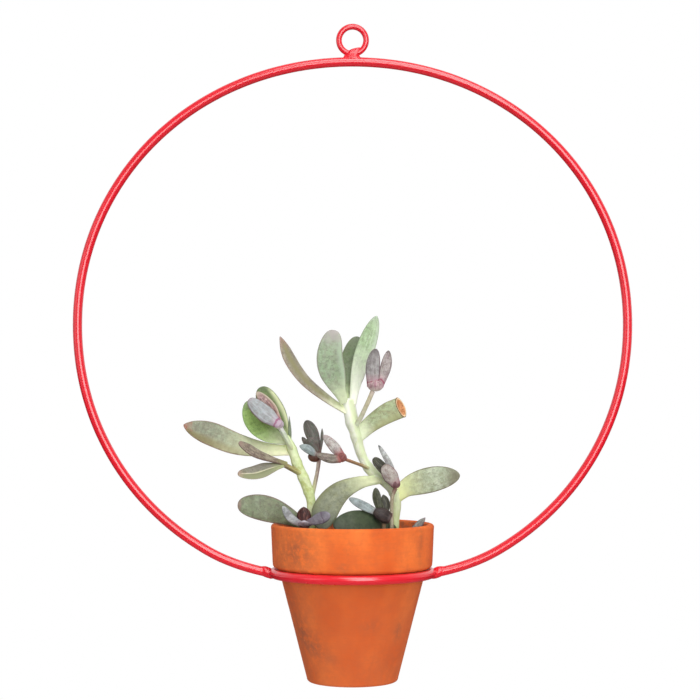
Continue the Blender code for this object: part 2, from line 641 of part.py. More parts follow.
BUDS = {
    "left_bud": Bud((-49.6, -6.7, 67.6), (3.2, 2.8, 3.0), (
        petal((-49.5, -7.5, 67.5), (-60, -8.5, 75.6), (-70.3, -7.5, 84.6), 12, 5.2,
              facing=(0.2, -1, 0.1), base=0.55, widest=0.45, tip=0.42),
        petal((-49.3, -5.6, 69), (-56.4, -4.2, 80), (-65.2, -3.2, 89.6), 8.5, 3.2,
              facing=(0.3, -1, 0.2), base=0.5, widest=0.45, tip=0.5),
    )),
    "dark_bud": Bud((-25.8, 5, 45.4), (4.8, 3.6, 3.7), (
        petal((-23.8, 6.5, 47), (-27.2, 9.4, 59.5), (-31.9, 11, 70.2), 9.4, 3.4,
              facing=(0.1, -1, 0), base=0.6, tip=0.5),
        petal((-26.4, 6, 47), (-31.3, 8.4, 54), (-34.6, 10, 58.8), 3.6, 2.0, base=0.6, tip=0.6),
        petal((-22.4, 6, 47.6), (-21, 7.4, 57), (-20.8, 8, 64.8), 2.2, 1.8, base=0.8, tip=0.8),
        petal((-23.8, 5, 47), (-27, 4, 53.2), (-31, 3.4, 57.8), 7.6, 3.2, base=0.6, tip=0.5),
        petal((-24.4, 3, 46), (-30, 1, 50.6), (-36.2, -0.6, 53.1), 6, 2.6,
              facing=(0, -1, 0.2), base=0.6, widest=0.5, tip=0.75),
    )),
    "red_bud": Bud((-7.3, -10.4, 45.3), (3.4, 3.3, 3.2), (
        petal((-7.3, -9.6, 46.3), (-13, -10.4, 53.2), (-19.6, -10.6, 60.4), 7.2, 3.4,
              facing=(0.2, -1, 0), base=0.75, widest=0.4, tip=0.5),
        petal((-8, -11.6, 44.2), (-16, -13.6, 45), (-25, -14.4, 47.8), 6.4, 3.2,
              facing=(0, -1, 0.2), base=0.8, widest=0.4, tip=0.55),
    )),
    "twin_bud": Bud((15.3, -14, 94.4), (5.5, 4.2, 4.4), (
        petal((13.8, -14.6, 93), (13.7, -16.6, 106.5), (15.6, -18, 118.6), 9.8, 4.4,
              facing=(-0.2, -1, 0), base=0.86, widest=0.45, tip=0.5),
        petal((17.8, -13.4, 93.6), (22.3, -12.6, 106), (24.4, -11, 117.6), 7.8, 3.8,
              facing=(0.3, -1, 0), base=0.82, widest=0.5, tip=0.6),
    )),
    "right_bud": Bud((29, -9, 27.6), (3.4, 3.4, 3.3), (
        petal((29.2, -9.8, 27.4), (25.2, -11.2, 33.6), (20.8, -11, 40.2), 10.2, 4.6,
              facing=(-0.1, -1, 0.1), base=0.7, widest=0.45, tip=0.42),
        petal((29.4, -7.4, 29.5), (24.6, -5.6, 41.5), (17.6, -5.6, 53.6), 4.4, 2.2,
              facing=(0.3, -1, 0), base=0.8, widest=0.45, tip=0.55),
        petal((27.6, -8, 29), (20.8, -7, 37.6), (14.1, -7.4, 44.9), 7.2, 2.6,
              facing=(0.1, -1, 0.2), base=0.6, widest=0.6, tip=0.4),
    )),
    "lower_bud": Bud((22, -15, 4.2), (3.8, 3.5, 3.4), (
        petal((25, -16, 4.6), (20.4, -17.6, 7), (14.2, -17.6, 9.6), 9.8, 5.2,
              facing=(0, -1, 0.2), base=0.8, widest=0.4, tip=0.42),
        petal((19.6, -13.8, 6), (16.8, -12.6, 16), (15.5, -12.2, 25), 6, 2.4,
              facing=(-0.2, -1, 0), base=0.6, tip=0.55),
        petal((22, -14, 6), (22.4, -12.6, 13.4), (20.6, -12, 20.4), 6.2, 2.4,
              facing=(0.2, -1, 0), base=0.6, tip=0.7),
        petal((18, -15, 7.6), (8, -16.8, 12.8), (-2.3, -17, 18.2), 6.4, 2.6,
              facing=(0.2, -1, 0.3), base=0.7, widest=0.5, tip=0.5),
    )),
    "open_bud": Bud((-32, -27.4, 1.2), (3.8, 3.4, 3.2), (
        petal((-32.2, -26.4, 1.5), (-32.4, -25.6, 8), (-32.6, -25.2, 13), 9.6, 4.2,
              base=0.8, widest=0.4, tip=0.75),
        petal((-34.4, -28, 1.4), (-41.2, -27, 5.8), (-46.6, -25.4, 13.4), 5.8, 2.4,
              facing=(0.1, -1, 0.1), base=0.7, widest=0.5, tip=0.55),
        petal((-29.4, -28.4, 2.4), (-21.6, -29.4, 5.6), (-14.8, -29.4, 8), 8, 3.0,
              facing=(0, -1, 0.2), base=0.6, widest=0.55, tip=0.45),
        petal((-32, -29, 0.8), (-32, -32.4, 2), (-32, -36, 4.2), 8.4, 2.0,
              facing=(0, 0.2, 1), base=0.7, widest=0.5, tip=0.55),
    )),
}


def build_plant(green, leafy, petal_pink, parent):
    """Stems, then what leaves them, each cut to sit a touch away from what carries it."""
    carriers = STEMS | {name: stalk for name, (carrier, stalk) in STALKS.items()}
    for name, stem in STEMS.items():
        dress(stem.solid(name), green, parent)
    for growths, material in ((STALKS, green), (LEAVES, leafy)):
        for name, (carrier, growth) in growths.items():
            piece = growth.solid(name)
            if carrier:
                combine(piece, carriers[carrier].solid("carrier_cutter", TOUCH_GAP), "DIFFERENCE")
            dress(piece, material, parent)
    for name, bud in BUDS.items():
        piece = bud.solid(name)
        stalk = STALKS[name + "_stalk"][1]
        combine(piece, stalk.solid("stalk_cutter", TOUCH_GAP), "DIFFERENCE")
        dress(piece, petal_pink, parent)


def main():
    clear_scene()
    build_hanger(finish("red_paint", 0.80, 0.03, 0.04, 0.35))
    pot_lift = lift_point("pot_lift", RIM_PLANE)
    build_pot(finish("terracotta", 0.72, 0.20, 0.06, 0.85), pot_lift)
    plant_lift = lift_point("plant_lift", RIM_PLANE)
    rooted = list(STEMS.values()) + [stalk for carrier, stalk in STALKS.values() if carrier is None]
    rooted.append(LEAVES["sprout"][1])
    build_soil(finish("soil", 0.05, 0.03, 0.02, 0.95), plant_lift, rooted)
    green = finish("stem_green", 0.55, 0.68, 0.35, 0.5)
    leafy = finish("leaf_green", 0.25, 0.34, 0.20, 0.55)
    build_plant(green, leafy, finish("petal_pink", 0.33, 0.22, 0.27, 0.55), plant_lift)


main()
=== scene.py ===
"""Looks of the hanging planter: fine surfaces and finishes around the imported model.

Metres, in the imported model's axes: +Z up, +X to the right and -Y towards the viewer, with the origin
where the planter hangs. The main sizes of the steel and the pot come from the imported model. The plant's
points are its own millimetres from the middle of the pot's rim, as in the model.
"""

import math
import random
from dataclasses import dataclass

import bpy
from mathutils import Matrix, Vector, noise


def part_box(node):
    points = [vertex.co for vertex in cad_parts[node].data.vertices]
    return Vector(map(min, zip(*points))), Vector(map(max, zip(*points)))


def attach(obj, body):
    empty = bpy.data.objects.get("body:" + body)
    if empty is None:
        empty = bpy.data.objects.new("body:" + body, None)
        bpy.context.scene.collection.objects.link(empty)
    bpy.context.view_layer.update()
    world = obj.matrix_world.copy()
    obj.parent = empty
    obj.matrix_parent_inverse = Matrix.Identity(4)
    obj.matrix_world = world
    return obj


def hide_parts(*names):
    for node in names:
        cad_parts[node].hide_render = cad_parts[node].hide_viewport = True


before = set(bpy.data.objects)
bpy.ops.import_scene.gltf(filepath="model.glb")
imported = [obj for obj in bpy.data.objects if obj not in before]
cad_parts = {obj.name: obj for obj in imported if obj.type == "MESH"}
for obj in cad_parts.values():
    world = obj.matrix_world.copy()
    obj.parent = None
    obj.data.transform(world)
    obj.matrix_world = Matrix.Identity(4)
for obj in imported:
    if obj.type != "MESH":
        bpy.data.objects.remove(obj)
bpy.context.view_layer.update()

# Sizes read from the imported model
ring_low, ring_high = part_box("pot_ring")
hoop_low, hoop_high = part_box("hoop")
eye_low, eye_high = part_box("hanging_eye")
pot_low, pot_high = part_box("pot")
soil_low, soil_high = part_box("soil")
ROD_RADIUS = (ring_high.z - ring_low.z) / 2
RING_MIDDLE = (ring_high.z + ring_low.z) / 2
RING_RADIUS = (ring_high.x - ring_low.x) / 2 - ROD_RADIUS
HOOP_HALF_WIDTH = (hoop_high.x - hoop_low.x) / 2 - ROD_RADIUS
WIRE_RADIUS = (eye_high.y - eye_low.y) / 2
EYE_RADIUS = (eye_high.x - eye_low.x) / 2 - WIRE_RADIUS
EYE_MIDDLE = (eye_high.z + eye_low.z) / 2
RIM_PLANE = pot_high.z
RIM_RADIUS = (pot_high.x - pot_low.x) / 2
POT_HEIGHT = pot_high.z - pot_low.z

# Hoop, as an oval that its ends leave for the ring
HOOP_HEIGHT = 0.3648
HOOP_SQUARENESS = 2.04
HOOP_END_RUN = 0.0440
HOOP_END_SLOPE = 0.20
WELD_GAP = 0.0003
HOOP_END = RING_RADIUS + ROD_RADIUS + WELD_GAP

# Welds: each end bead's way inward from the end of the hoop and its radius, and the eye's weld by
# its height over the hoop's middle line, its middle, its half width and its half depth
END_BEAD = ((-0.0055, 0.0029), (-0.0042, 0.0033), (-0.0028, 0.0036), (-0.0012, 0.0038),
            (0.0004, 0.0038), (0.0018, 0.0036), (0.0030, 0.0031), (0.0040, 0.0020))
END_BEAD_LEAN = 0.5
EYE_WEB = (
    (0.0008, -0.0004, 0.0070, 0.0020),
    (0.0018, -0.0006, 0.0072, 0.0027),
    (0.0028, -0.0008, 0.0063, 0.0027),
    (0.0040, -0.0007, 0.0055, 0.0025),
    (0.0054, -0.0002, 0.0052, 0.0024),
    (0.0068, 0.0008, 0.0050, 0.0024),
    (0.0080, 0.0016, 0.0043, 0.0022),
    (0.0088, 0.0019, 0.0030, 0.0014),
    (0.0090, 0.0020, 0.0012, 0.0006),
)
EYE_WEB_SLANT = 0.22
EYE_WEB_POWERS = (0.7, 0.8)  # of its oval sections, across and deep

# Pot
COLLAR_HEIGHT = 0.0300
COLLAR_FLARE = 0.0012
COLLAR_STEP = 0.00405
BASE_RADIUS = 0.0305
POT_WALL = 0.0050
RIM_WALL = 0.0046
POT_FLOOR = 0.0065
DRAIN_RADIUS = 0.0060
LIP_ROUND = 0.0021
COLLAR_ROUND = 0.0030
BASE_ROUND = 0.0025
COLLAR_BOTTOM = POT_HEIGHT - COLLAR_HEIGHT
COLLAR_FOOT = RIM_RADIUS - COLLAR_FLARE
LIP = RIM_RADIUS - RIM_WALL

# Dark smudges on the clay, where the broad patch at -66 degrees is painted shade down the pot's left side:
# degrees round from the front, then height, half width and half height in millimetres, and strength
SMUDGES_AND_SHADE = (
    (-45, 90.6, 10, 7, 0.45),
    (-36, 92, 10, 22, 0.28),
    (-6, 81.7, 4, 3, 0.5),
    (55, 96, 3, 13, 0.4),
    (-59, 36.8, 6, 9, 0.6),
    (-44, 27.2, 8, 7, 0.6),
    (50, 36.8, 5, 8, 0.6),
    (17, 41.5, 8, 6, 0.35),
    (-24, 19.7, 5, 4, 0.35),
    (100, 30, 8, 8, 0.4),
    (152, 60, 10, 12, 0.5),
    (-140, 88, 9, 6, 0.5),
    # Painted shade down the pot's left side
    (-66, 50, 22, 70, 0.34),
    (40, 12, 26, 12, 0.25),
)
# Painted shade on the inside of the pot's wall, as a share of the dark smudge colour
INNER_PAINTED_SHADE = 0.75

# Soil, with its sides a little inside the solid root ball, and the crumbs on it
SOIL_RIM = soil_high.x - 0.0004
SOIL_FOOT = soil_low.z + 0.0003
SOIL_LEVEL = RIM_PLANE - 0.0110
SOIL_CROWN = 0.0015
SOIL_EDGE = 0.004
BALL_GAP, EDGE_GAP = 0.0006, 0.0002
CRUMBS = 420
CRUMB_SEED = 7
CRUMB_SPREAD = 0.95
CRUMB_CROWN = 0.0012
CRUMB_SIZE, CRUMB_SIZE_RANGE = 0.0006, 0.0014
CRUMB_STRETCH, CRUMB_STRETCH_RANGE = 0.7, 0.6
CRUMB_FLATNESS = 0.8
CRUMB_LUMPS, CRUMB_GRAIN = 0.35, 0.8

# Plant, whose millimetres are set by the inside of the pot's lip
PLANTED_LIP = 50.9
MM = LIP / PLANTED_LIP
KNOT_SWELL = 0.35
KNOT_REACH = 0.022
STEM_RIDGES, STEM_RIDGE, STEM_TWIST = 3, 0.045, 4
STEM_GRAIN = 0.006
STEM_END = 0.35
BASE_SWELL, BASE_SWELL_REACH = 0.25, 0.25
LENS_POWER = 0.6  # of a blade's cross section, where 0.5 is an ellipse
FRONT_FULLNESS = 0.85  # of a blade's front beside its back
FOLD_POWER = 1.3
GROOVE_WIDTH = 0.3
WAVES_ALONG, WAVES_ACROSS = 9, 2.1
BLADE_GRAIN = 0.005
CUT_REACH = 0.7  # how far along a blade its cut begins to slant it
CUP_RIBS, CUP_RELIEF, CUP_GRAIN = 5, 0.05, 0.7
SKIN_ROUGHNESS = 0.10
FLECK_SHADE = 0.72  # flecks in a skin are this dark beside its margin

# Unevenness of the surfaces: the rods' height and size of grain, then layers with a height, a size
# and a seed each
ROD_UNEVENNESS = 0.00003
RING_UNEVENNESS = 0.00004
ROD_GRAIN = 0.006
WELD_RIPPLES = ((0.00030, 0.0026, 3.0), (0.00012, 0.0010, 8.0))
CLAY_WOBBLE = ((0.00018, 0.03, 4.0), (0.00006, 0.004, 9.0))
SOIL_LUMPS = ((0.0009, 0.006, 2.0), (0.0005, 0.0022, 5.0))
SCAR_LUMPS = ((0.28, 0.0022, 5.0),)

# Fineness of the surfaces: steps along them and sides round them
POT_STEPS = 160
SIDE_STEPS, COLLAR_STEPS, WALL_STEPS, ROUND_STEPS = 32, 14, 8, 8
HOOP_STEPS, HOOP_END_STEPS, RING_STEPS, ROD_SIDES = 120, 20, 160, 32
EYE_STEPS, WIRE_SIDES = 72, 24
BEAD_STEPS, BEAD_SIDES, WEB_SIDES = 4, 36, 44
SOIL_RINGS, SOIL_SIDES = 24, 96
CRUMB_RINGS, CRUMB_SIDES = 5, 7
SPINE_STEPS = 16
STEM_STATIONS, STEM_SIDES = 12, 28  # stations for each of a stem's points
BLADE_STATIONS, BLADE_SIDES = 44, 32
PETAL_STATIONS, PETAL_SIDES = 26, 22
CUP_STATIONS, CUP_SIDES = 18, 24

# Rings of the cut leaf's scar, from its rim to its middle: share of the cut's size and how proud, in
# the plant's millimetres, and then how deep its foot is sunk and how proud its middle is
SCAR_RINGS = ((0.99, -0.5), (1.03, -0.1), (1.03, 0.25), (0.96, 0.5), (0.80, 0.25), (0.55, 0.3), (0.30, 0.2))
SCAR_FOOT, SCAR_TOP = 0.4, 0.2

# Camera, as the photograph was taken: level, straight on and from far enough to flatten the depth
CAMERA_AWAY = 1.23
CAMERA_ASIDE = -0.0017
HORIZON = -0.2515
LENS_MM = 92.9
SENSOR_MM = 36.0
HORIZON_SHIFT = 0.07

# Studio, by how bright its walls and its floor are as light. The floor is dark to a mirrored ray, so
# that the undersides of the rods keep their deep red.
FRONT_WALL = 0.24
BACK_WALL = 0.85
FLOOR_GLOW = 0.22
FLOOR_PALE = 0.88
FLOOR_MIRRORED = 0.12
FLOOR_PLANE = -0.62
FLOOR_HALF_WIDTH = 4.0
FADE_START, FADE_END = 0.25, 0.85

# Lights: where each one stands and points, its width and its power
LIGHTS = {
    "key": ((0.58, -2.30, 0.16), (0, 0, -0.25), 1.7, 34.5),
    "fill": ((-1.9, -1.3, 0.1), (0, 0, -0.3), 1.5, 5),
    "overhead": ((0.35, -1.6, 1.9), (0, 0, -0.25), 1.9, 40),
}


# Shapes


def eased(start, leave_way, stop, arrive_way, t):
    """A point at t on the cubic that leaves start and arrives at stop in the given ways."""
    return (
        start * (2 * t**3 - 3 * t**2 + 1)
        + leave_way * (t**3 - 2 * t**2 + t)
        + stop * (3 * t**2 - 2 * t**3)
        + arrive_way * (t**3 - t**2)
    )


def smooth_path(points, steps):
    """Points on one smooth curve through the given ones, with steps between each two."""
    ends = [2 * points[0] - points[1], *points, 2 * points[-1] - points[-2]]
    path = []
    for before, start, stop, after in zip(ends, ends[1:], ends[2:], ends[3:]):
        for step in range(steps):
            path.append(eased(start, (stop - before) / 2, stop, (after - start) / 2, step / steps))
    path.append(points[-1].copy())
    return path


def smooth_step(low, high, value):
    """0 below low and 1 above high, eased between them."""
    share = min(max((value - low) / (high - low), 0.0), 1.0)
    return share * share * (3 - 2 * share)


def along_path(path, share):
    """The point and the direction at a share of the way along a path."""
    last = len(path) - 1
    place = share * last
    index = min(int(place), last - 1)
    here = path[index].lerp(path[index + 1], place - index)
    before = path[max(index - 1, 0)]
    after = path[min(index + 2, last)]
    return here, (after - before).normalized()


def arc(across, height, radius, start, steps):
    """Points on a quarter of a circle, from an angle in degrees over straight out."""
    points = []
    for step in range(steps + 1):
        angle = math.radians(start + 90 * step / steps)
        points.append((across + radius * math.cos(angle), height + radius * math.sin(angle)))
    return points


def shares(steps):
    """Even shares up to the whole."""
    return [step / steps for step in range(1, steps + 1)]


def turns(steps):
    """Angles evenly round a turn."""
    return [math.tau * step / steps for step in range(steps)]


def around(radius, angle, height):
    """The point at a radius and an angle round an upright axis."""
    return Vector((radius * math.cos(angle), radius * math.sin(angle), height))


def grain(point, size, seed=0.0):
    """Smooth noise from -1 to 1 with bumps of about the given size."""
    return noise.noise(Vector(point) / size + Vector((seed, 2.3 * seed, 0.7 * seed)))


def unevenness(point, layers):
    """Sum of layers of grain at a point."""
    return sum(height * grain(point, size, seed) for height, size, seed in layers)


def turned(ring):
    """A ring from its second corner on, round to its first."""
    return ring[1:] + ring[:1]


class Surface:
    """Corners and faces of one piece, with the named marks that its finish reads at each corner."""

    def __init__(self, *names):
        self.names = names
        self.corners = []
        self.marks = []
        self.faces = []

    def add(self, corner, *marks):
        self.corners.append(corner)
        self.marks.append(marks)
        return len(self.corners) - 1

    def loft(self, rings, ends=(), closed=False):
        """Joins rings of marked corners, and closes each end with a fan to a marked corner."""
        rings = [[self.add(*corner) for corner in ring] for ring in rings]
        for ring, other in zip(rings, turned(rings) if closed else rings[1:]):
            self.faces += zip(ring, turned(ring), turned(other), other)
        if ends:
            self.fan(turned(rings[0]), rings[0], ends[0])
            self.fan(rings[-1], turned(rings[-1]), ends[1])
        return self

    def fan(self, ring, following, end):
        """Closes a ring with faces to a marked corner, where following has the corner after each."""
        tip = self.add(*end)
        self.faces += [(corner, after, tip) for corner, after in zip(ring, following)]


def stand(name, data, place=(0, 0, 0), turn=(0, 0, 0)):
    """A new object in the scene."""
    made = bpy.data.objects.new(name, data)
    made.location = place
    made.rotation_euler = turn
    bpy.context.collection.objects.link(made)
    return made


def piece(name, surface, finish, body, slot, *replaced):
    """One visible piece from a surface, which rides on a body and stands for model nodes."""
    mesh = bpy.data.meshes.new(name)
    mesh.from_pydata(surface.corners, [], surface.faces)
    for mark, values in zip(surface.names, zip(*surface.marks)):
        mesh.attributes.new(mark, "FLOAT", "POINT").data.foreach_set("value", values)
    mesh.materials.append(finish)
    mesh.shade_smooth()
    mesh.validate()
    made = stand(name, mesh)
    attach(made, body)
    if replaced:
        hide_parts(*replaced)


# Node tools for the finishes


def srgb(red, green, blue):
    """A colour as it is seen, from 0 to 255, as Blender's linear values."""
    seen = [value / 255 for value in (red, green, blue)]
    return (*(v / 12.92 if v <= 0.04045 else ((v + 0.055) / 1.055) ** 2.4 for v in seen), 1.0)


class Nodes:
    """Adds nodes to one tree, each with its values and links in one call."""

    def __init__(self, tree):
        self.tree = tree

    def give(self, socket, value):
        """Links a socket to another, or sets its value."""
        if isinstance(value, bpy.types.NodeSocket):
            self.tree.links.new(value, socket)
        else:
            socket.default_value = value

    def add(self, kind, values=None, **settings):
        node = self.tree.nodes.new("ShaderNode" + kind)
        for name, value in settings.items():
            setattr(node, name, value)
        for name, value in (values or {}).items():
            self.give(node.inputs[name], value)
        return node

    def math(self, operation, first, second=0.0, clamp=False):
        node = self.add("Math", {0: first, 1: second}, operation=operation, use_clamp=clamp)
        return node.outputs[0]

    def times(self, first, second):
        return self.math("MULTIPLY", first, second)

    def plus(self, first, second):
        return self.math("ADD", first, second)

    def minus(self, first, second):
        return self.math("SUBTRACT", first, second)

    def ramp(self, value, low, high, bottom=0.0, top=1.0):
        """Turns a value from low to high into one from bottom to top, eased at both ends."""
        values = {"Value": value, "From Min": low, "From Max": high, "To Min": bottom, "To Max": top}
        return self.add("MapRange", values, interpolation_type="SMOOTHSTEP").outputs["Result"]

    def mix(self, share, first, second):
        return self.add("Mix", {0: share, 6: first, 7: second}, data_type="RGBA").outputs[2]

    def noise(self, vector, size, detail=3.0, roughness=0.5):
        """Noise from 0 to 1 with patches of about the given size in metres."""
        scale = self.math("DIVIDE", 1.0, size) if isinstance(size, bpy.types.NodeSocket) else 1 / size
        values = {"Vector": vector, "Scale": scale, "Detail": detail, "Roughness": roughness}
        return self.add("TexNoise", values).outputs["Fac"]


def group(name, inputs, outputs):
    """A node group that is given a position and numbers: its nodes, what it's given and its outputs."""
    tree = bpy.data.node_groups.new(name, "ShaderNodeTree")
    tree.interface.new_socket("Position", in_out="INPUT", socket_type="NodeSocketVector")
    for way, sockets in (("INPUT", inputs), ("OUTPUT", outputs)):
        for socket in sockets:
            tree.interface.new_socket(socket, in_out=way, socket_type="NodeSocketFloat")
    given = tree.nodes.new("NodeGroupInput").outputs
    return Nodes(tree), given, tree.nodes.new("NodeGroupOutput").inputs


def patches_group():
    """Soft patches of two sizes, as in baked clay, potting mix and leaf skin."""
    n, given, out = group("patches", ["Large", "Small", "Contrast"], ["Mask"])
    large = n.times(n.noise(given["Position"], given["Large"], 2.0), 0.62)
    small = n.times(n.noise(given["Position"], given["Small"], 3.0), 0.38)
    spread = n.times(n.minus(n.plus(large, small), 0.5), n.times(given["Contrast"], 3.2))
    n.give(out["Mask"], n.math("ADD", spread, 0.5, clamp=True))
    return n.tree


def specks_group():
    """Small round specks, far apart: grit in clay, perlite in soil and dots on leaves."""
    n, given, out = group("specks", ["Spacing", "Size", "Share"], ["Mask"])
    scale = n.math("DIVIDE", 1.0, given["Spacing"])
    cells = n.add("TexVoronoi", {"Vector": given["Position"], "Scale": scale}).outputs
    near = n.minus(1.0, n.ramp(cells["Distance"], 0.0, given["Size"]))
    chosen = n.add("SeparateColor", {"Color": cells["Color"]}).outputs[0]
    n.give(out["Mask"], n.times(near, n.math("LESS_THAN", chosen, given["Share"])))
    return n.tree


def growth_group():
    """Where a leaf, petal or stem is base, tip, margin or middle, with streaks that run along it."""
    numbers = [
        "Along", "Across", "Base Reach", "Tip Reach", "Margin Reach", "Middle Reach", "Band Place",
        "Streak Count",
    ]
    n, given, out = group("growth", numbers, ["Base", "Tip", "Margin", "Middle", "Band", "Streak"])
    ragged = n.minus(n.noise(given["Position"], 0.004, 3.0, 0.55), 0.5)
    wandering = n.plus(given["Along"], n.times(ragged, 0.22))
    outward = n.plus(n.math("ABSOLUTE", given["Across"]), n.times(ragged, 0.08))
    aside = n.math("ABSOLUTE", n.minus(wandering, given["Band Place"]))
    lanes = {
        "X": n.times(given["Across"], given["Streak Count"]),
        "Y": n.times(given["Along"], 2.2),
        "Z": n.times(given["Base Reach"], 31.0),
    }
    masks = {
        "Base": n.minus(1.0, n.ramp(wandering, 0.0, given["Base Reach"])),
        "Tip": n.ramp(wandering, n.minus(1.0, given["Tip Reach"]), 1.0),
        "Margin": n.ramp(outward, n.minus(1.0, given["Margin Reach"]), 0.97),
        "Middle": n.minus(1.0, n.ramp(outward, 0.0, given["Middle Reach"])),
        "Band": n.minus(1.0, n.ramp(aside, 0.012, 0.04)),
        "Streak": n.noise(n.add("CombineXYZ", lanes).outputs[0], 1.0),
    }
    for name, mask in masks.items():
        n.give(out[name], mask)
    return n.tree


PATCHES = patches_group()
SPECKS = specks_group()
GROWTH = growth_group()


class Finish(Nodes):
    """A new material on a Principled shader, whose colour is laid on in coats."""

    def __init__(self, name):
        self.made = bpy.data.materials.new(name)
        self.made.use_nodes = True
        super().__init__(self.made.node_tree)
        self.shader = self.tree.nodes["Principled BSDF"]
        self.place = self.add("TexCoord").outputs["Object"]

    def use(self, tree, **values):
        """Places a node group, with underscores for the spaces in its sockets' names."""
        node = self.add("Group", node_tree=tree)
        for name, value in values.items():
            self.give(node.inputs[name.replace("_", " ")], value)
        return node.outputs

    def patches(self, large, small, contrast, stretch=None):
        place = self.stretched(stretch) if stretch else self.place
        return self.use(PATCHES, Position=place, Large=large, Small=small, Contrast=contrast)["Mask"]

    def specks(self, spacing, size, share):
        return self.use(SPECKS, Position=self.place, Spacing=spacing, Size=size, Share=share)["Mask"]

    def stretched(self, stretch):
        node = self.add("VectorMath", {0: self.place, 1: stretch}, operation="MULTIPLY")
        return node.outputs[0]

    def mark(self, name):
        return self.add("Attribute", attribute_name=name).outputs["Fac"]

    def first_coat(self, mask, colour, other):
        self.colour = self.mix(mask, srgb(*colour), srgb(*other))

    def coat(self, mask, colour, strength=1.0):
        """Lays a colour over the ones so far, where a mask says and with a strength."""
        if strength != 1.0:
            mask = self.times(mask, strength)
        self.colour = self.mix(mask, self.colour, srgb(*colour))

    def finished(self, roughness, relief, strength, depth, **even):
        """Connects colour, roughness and relief, and sets what is the same all over."""
        bump = self.add("Bump", {"Height": relief, "Strength": strength, "Distance": depth})
        values = {"Base Color": self.colour, "Roughness": roughness, "Normal": bump.outputs[0]}
        for name, value in (values | even).items():
            self.give(self.shader.inputs[name.replace("_", " ")], value)
        return self.made


def red_coat(name, smooth, dull, peel_size, peel_depth, shine):
    """Glossy red powder coat: patches of thicker and thinner paint over a faint orange peel."""
    paint = Finish(name)
    cloud = paint.patches(large=0.045, small=0.008, contrast=0.7)
    paint.first_coat(cloud, (222, 12, 34), (236, 22, 44))
    paint.coat(paint.specks(spacing=0.0035, size=0.16, share=0.04), (250, 110, 112), 0.2)
    peel = paint.noise(paint.place, peel_size, 2.0, 0.55)
    return paint.finished(
        paint.ramp(cloud, 0.0, 1.0, dull, smooth), peel, 0.5, peel_depth,
        Specular_IOR_Level=0.2, Coat_Weight=shine, Coat_Roughness=0.24, Coat_IOR=2.1,
    )


def terracotta():
    """Unglazed baked clay: broad warm and dull bands, smudges from the kiln, grit and turning lines, with
    painted shade inside the pot, down its left side and on the body below its collar.
    """
    clay = Finish("terracotta")
    broad = clay.patches(large=0.055, small=0.020, contrast=1.15, stretch=(1.0, 1.0, 0.5))
    clay.first_coat(broad, (216, 92, 36), (252, 132, 60))
    clay.coat(clay.patches(large=0.0085, small=0.0020, contrast=1.4), (198, 94, 52), 0.34)
    # The pot's smudge mark, broken up by noise: real smudges, and painted shade inside the pot and down its
    # left side
    uneven = clay.ramp(clay.noise(clay.place, 0.0045, 4.0, 0.65), 0.30, 0.62)
    clay.coat(clay.times(clay.mark("smudge_and_shade"), uneven), (138, 84, 62))
    strays = clay.ramp(clay.noise(clay.place, 0.012, 5.0, 0.7), 0.60, 0.74)
    clay.coat(strays, (160, 84, 56), 0.30)
    clay.coat(clay.specks(spacing=0.011, size=0.075, share=0.16), (255, 186, 130), 0.6)
    pits = clay.specks(spacing=0.0042, size=0.10, share=0.12)
    clay.coat(pits, (134, 70, 46), 0.45)
    lines = clay.noise(clay.stretched((0.10, 0.10, 1.0)), 0.0010, 3.0, 0.55)
    clay.coat(clay.ramp(lines, 0.45, 0.75, 0.0, 0.16), (186, 92, 52))
    # Painted shade: the body below the collar is darker than the collar
    heights = clay.add("SeparateXYZ", {"Vector": clay.place}).outputs["Z"]
    collar = RIM_PLANE - COLLAR_HEIGHT
    clay.coat(clay.ramp(heights, collar + 0.002, collar - 0.012, 0.0, 0.36), (182, 92, 50))
    pores = clay.noise(clay.place, 0.0006, 3.0, 0.7)
    relief = clay.minus(clay.plus(clay.times(lines, 0.45), clay.times(pores, 0.55)), clay.times(pits, 0.8))
    dull = clay.ramp(broad, 0.0, 1.0, 0.92, 0.78)
    return clay.finished(dull, relief, 0.35, 0.0003, Specular_IOR_Level=0.25)


def potting_mix():
    """Dark damp peat with fibres and pale perlite grains."""
    earth = Finish("potting_mix")
    cloud = earth.patches(large=0.009, small=0.002, contrast=1.5)
    earth.first_coat(cloud, (38, 27, 20), (92, 68, 50))
    earth.coat(earth.specks(spacing=0.0045, size=0.2, share=0.1), (205, 198, 184))
    fibres = earth.noise(earth.place, 0.0012, 4.0, 0.7)
    return earth.finished(earth.ramp(cloud, 0.0, 1.0, 0.98, 0.8), fibres, 0.8, 0.0008)


def callus():
    """Dried brown scar of a cut leaf, orange where it's young and dark in its pits."""
    crust = Finish("callus")
    cloud = crust.patches(large=0.0035, small=0.001, contrast=1.3)
    crust.first_coat(cloud, (170, 104, 60), (224, 158, 106))
    crust.coat(crust.specks(spacing=0.0017, size=0.38, share=0.42), (96, 52, 30))
    outward = crust.mark("across")
    crust.coat(crust.ramp(outward, 0.74, 0.9), (236, 208, 164))
    crust.coat(crust.ramp(outward, 0.94, 1.0), (120, 78, 50))
    return crust.finished(crust.ramp(cloud, 0.0, 1.0, 0.9, 0.7), cloud, 0.7, 0.0006)


@dataclass
class Skin:
    """Colours of a leaf, a petal or a stem, as they are seen, and how far each one reaches."""

    blade: tuple
    patch: tuple
    base: tuple
    tip: tuple
    margin: tuple
    base_reach: float = 0.3
    tip_reach: float = 0.16
    margin_reach: float = 0.13
    streak: tuple = None
    streak_share: float = 0.5
    streak_count: float = 6.0
    crispness: float = 0.42
    stain: tuple = None
    stain_share: float = 0.5
    middle: tuple = None
    middle_reach: float = 0.12
    band: tuple = None
    band_place: float = 0.12
    side: tuple = None  # painted light and shade on one side, lighter on some blades and darker on others: a colour, from where to where across, and how much of it
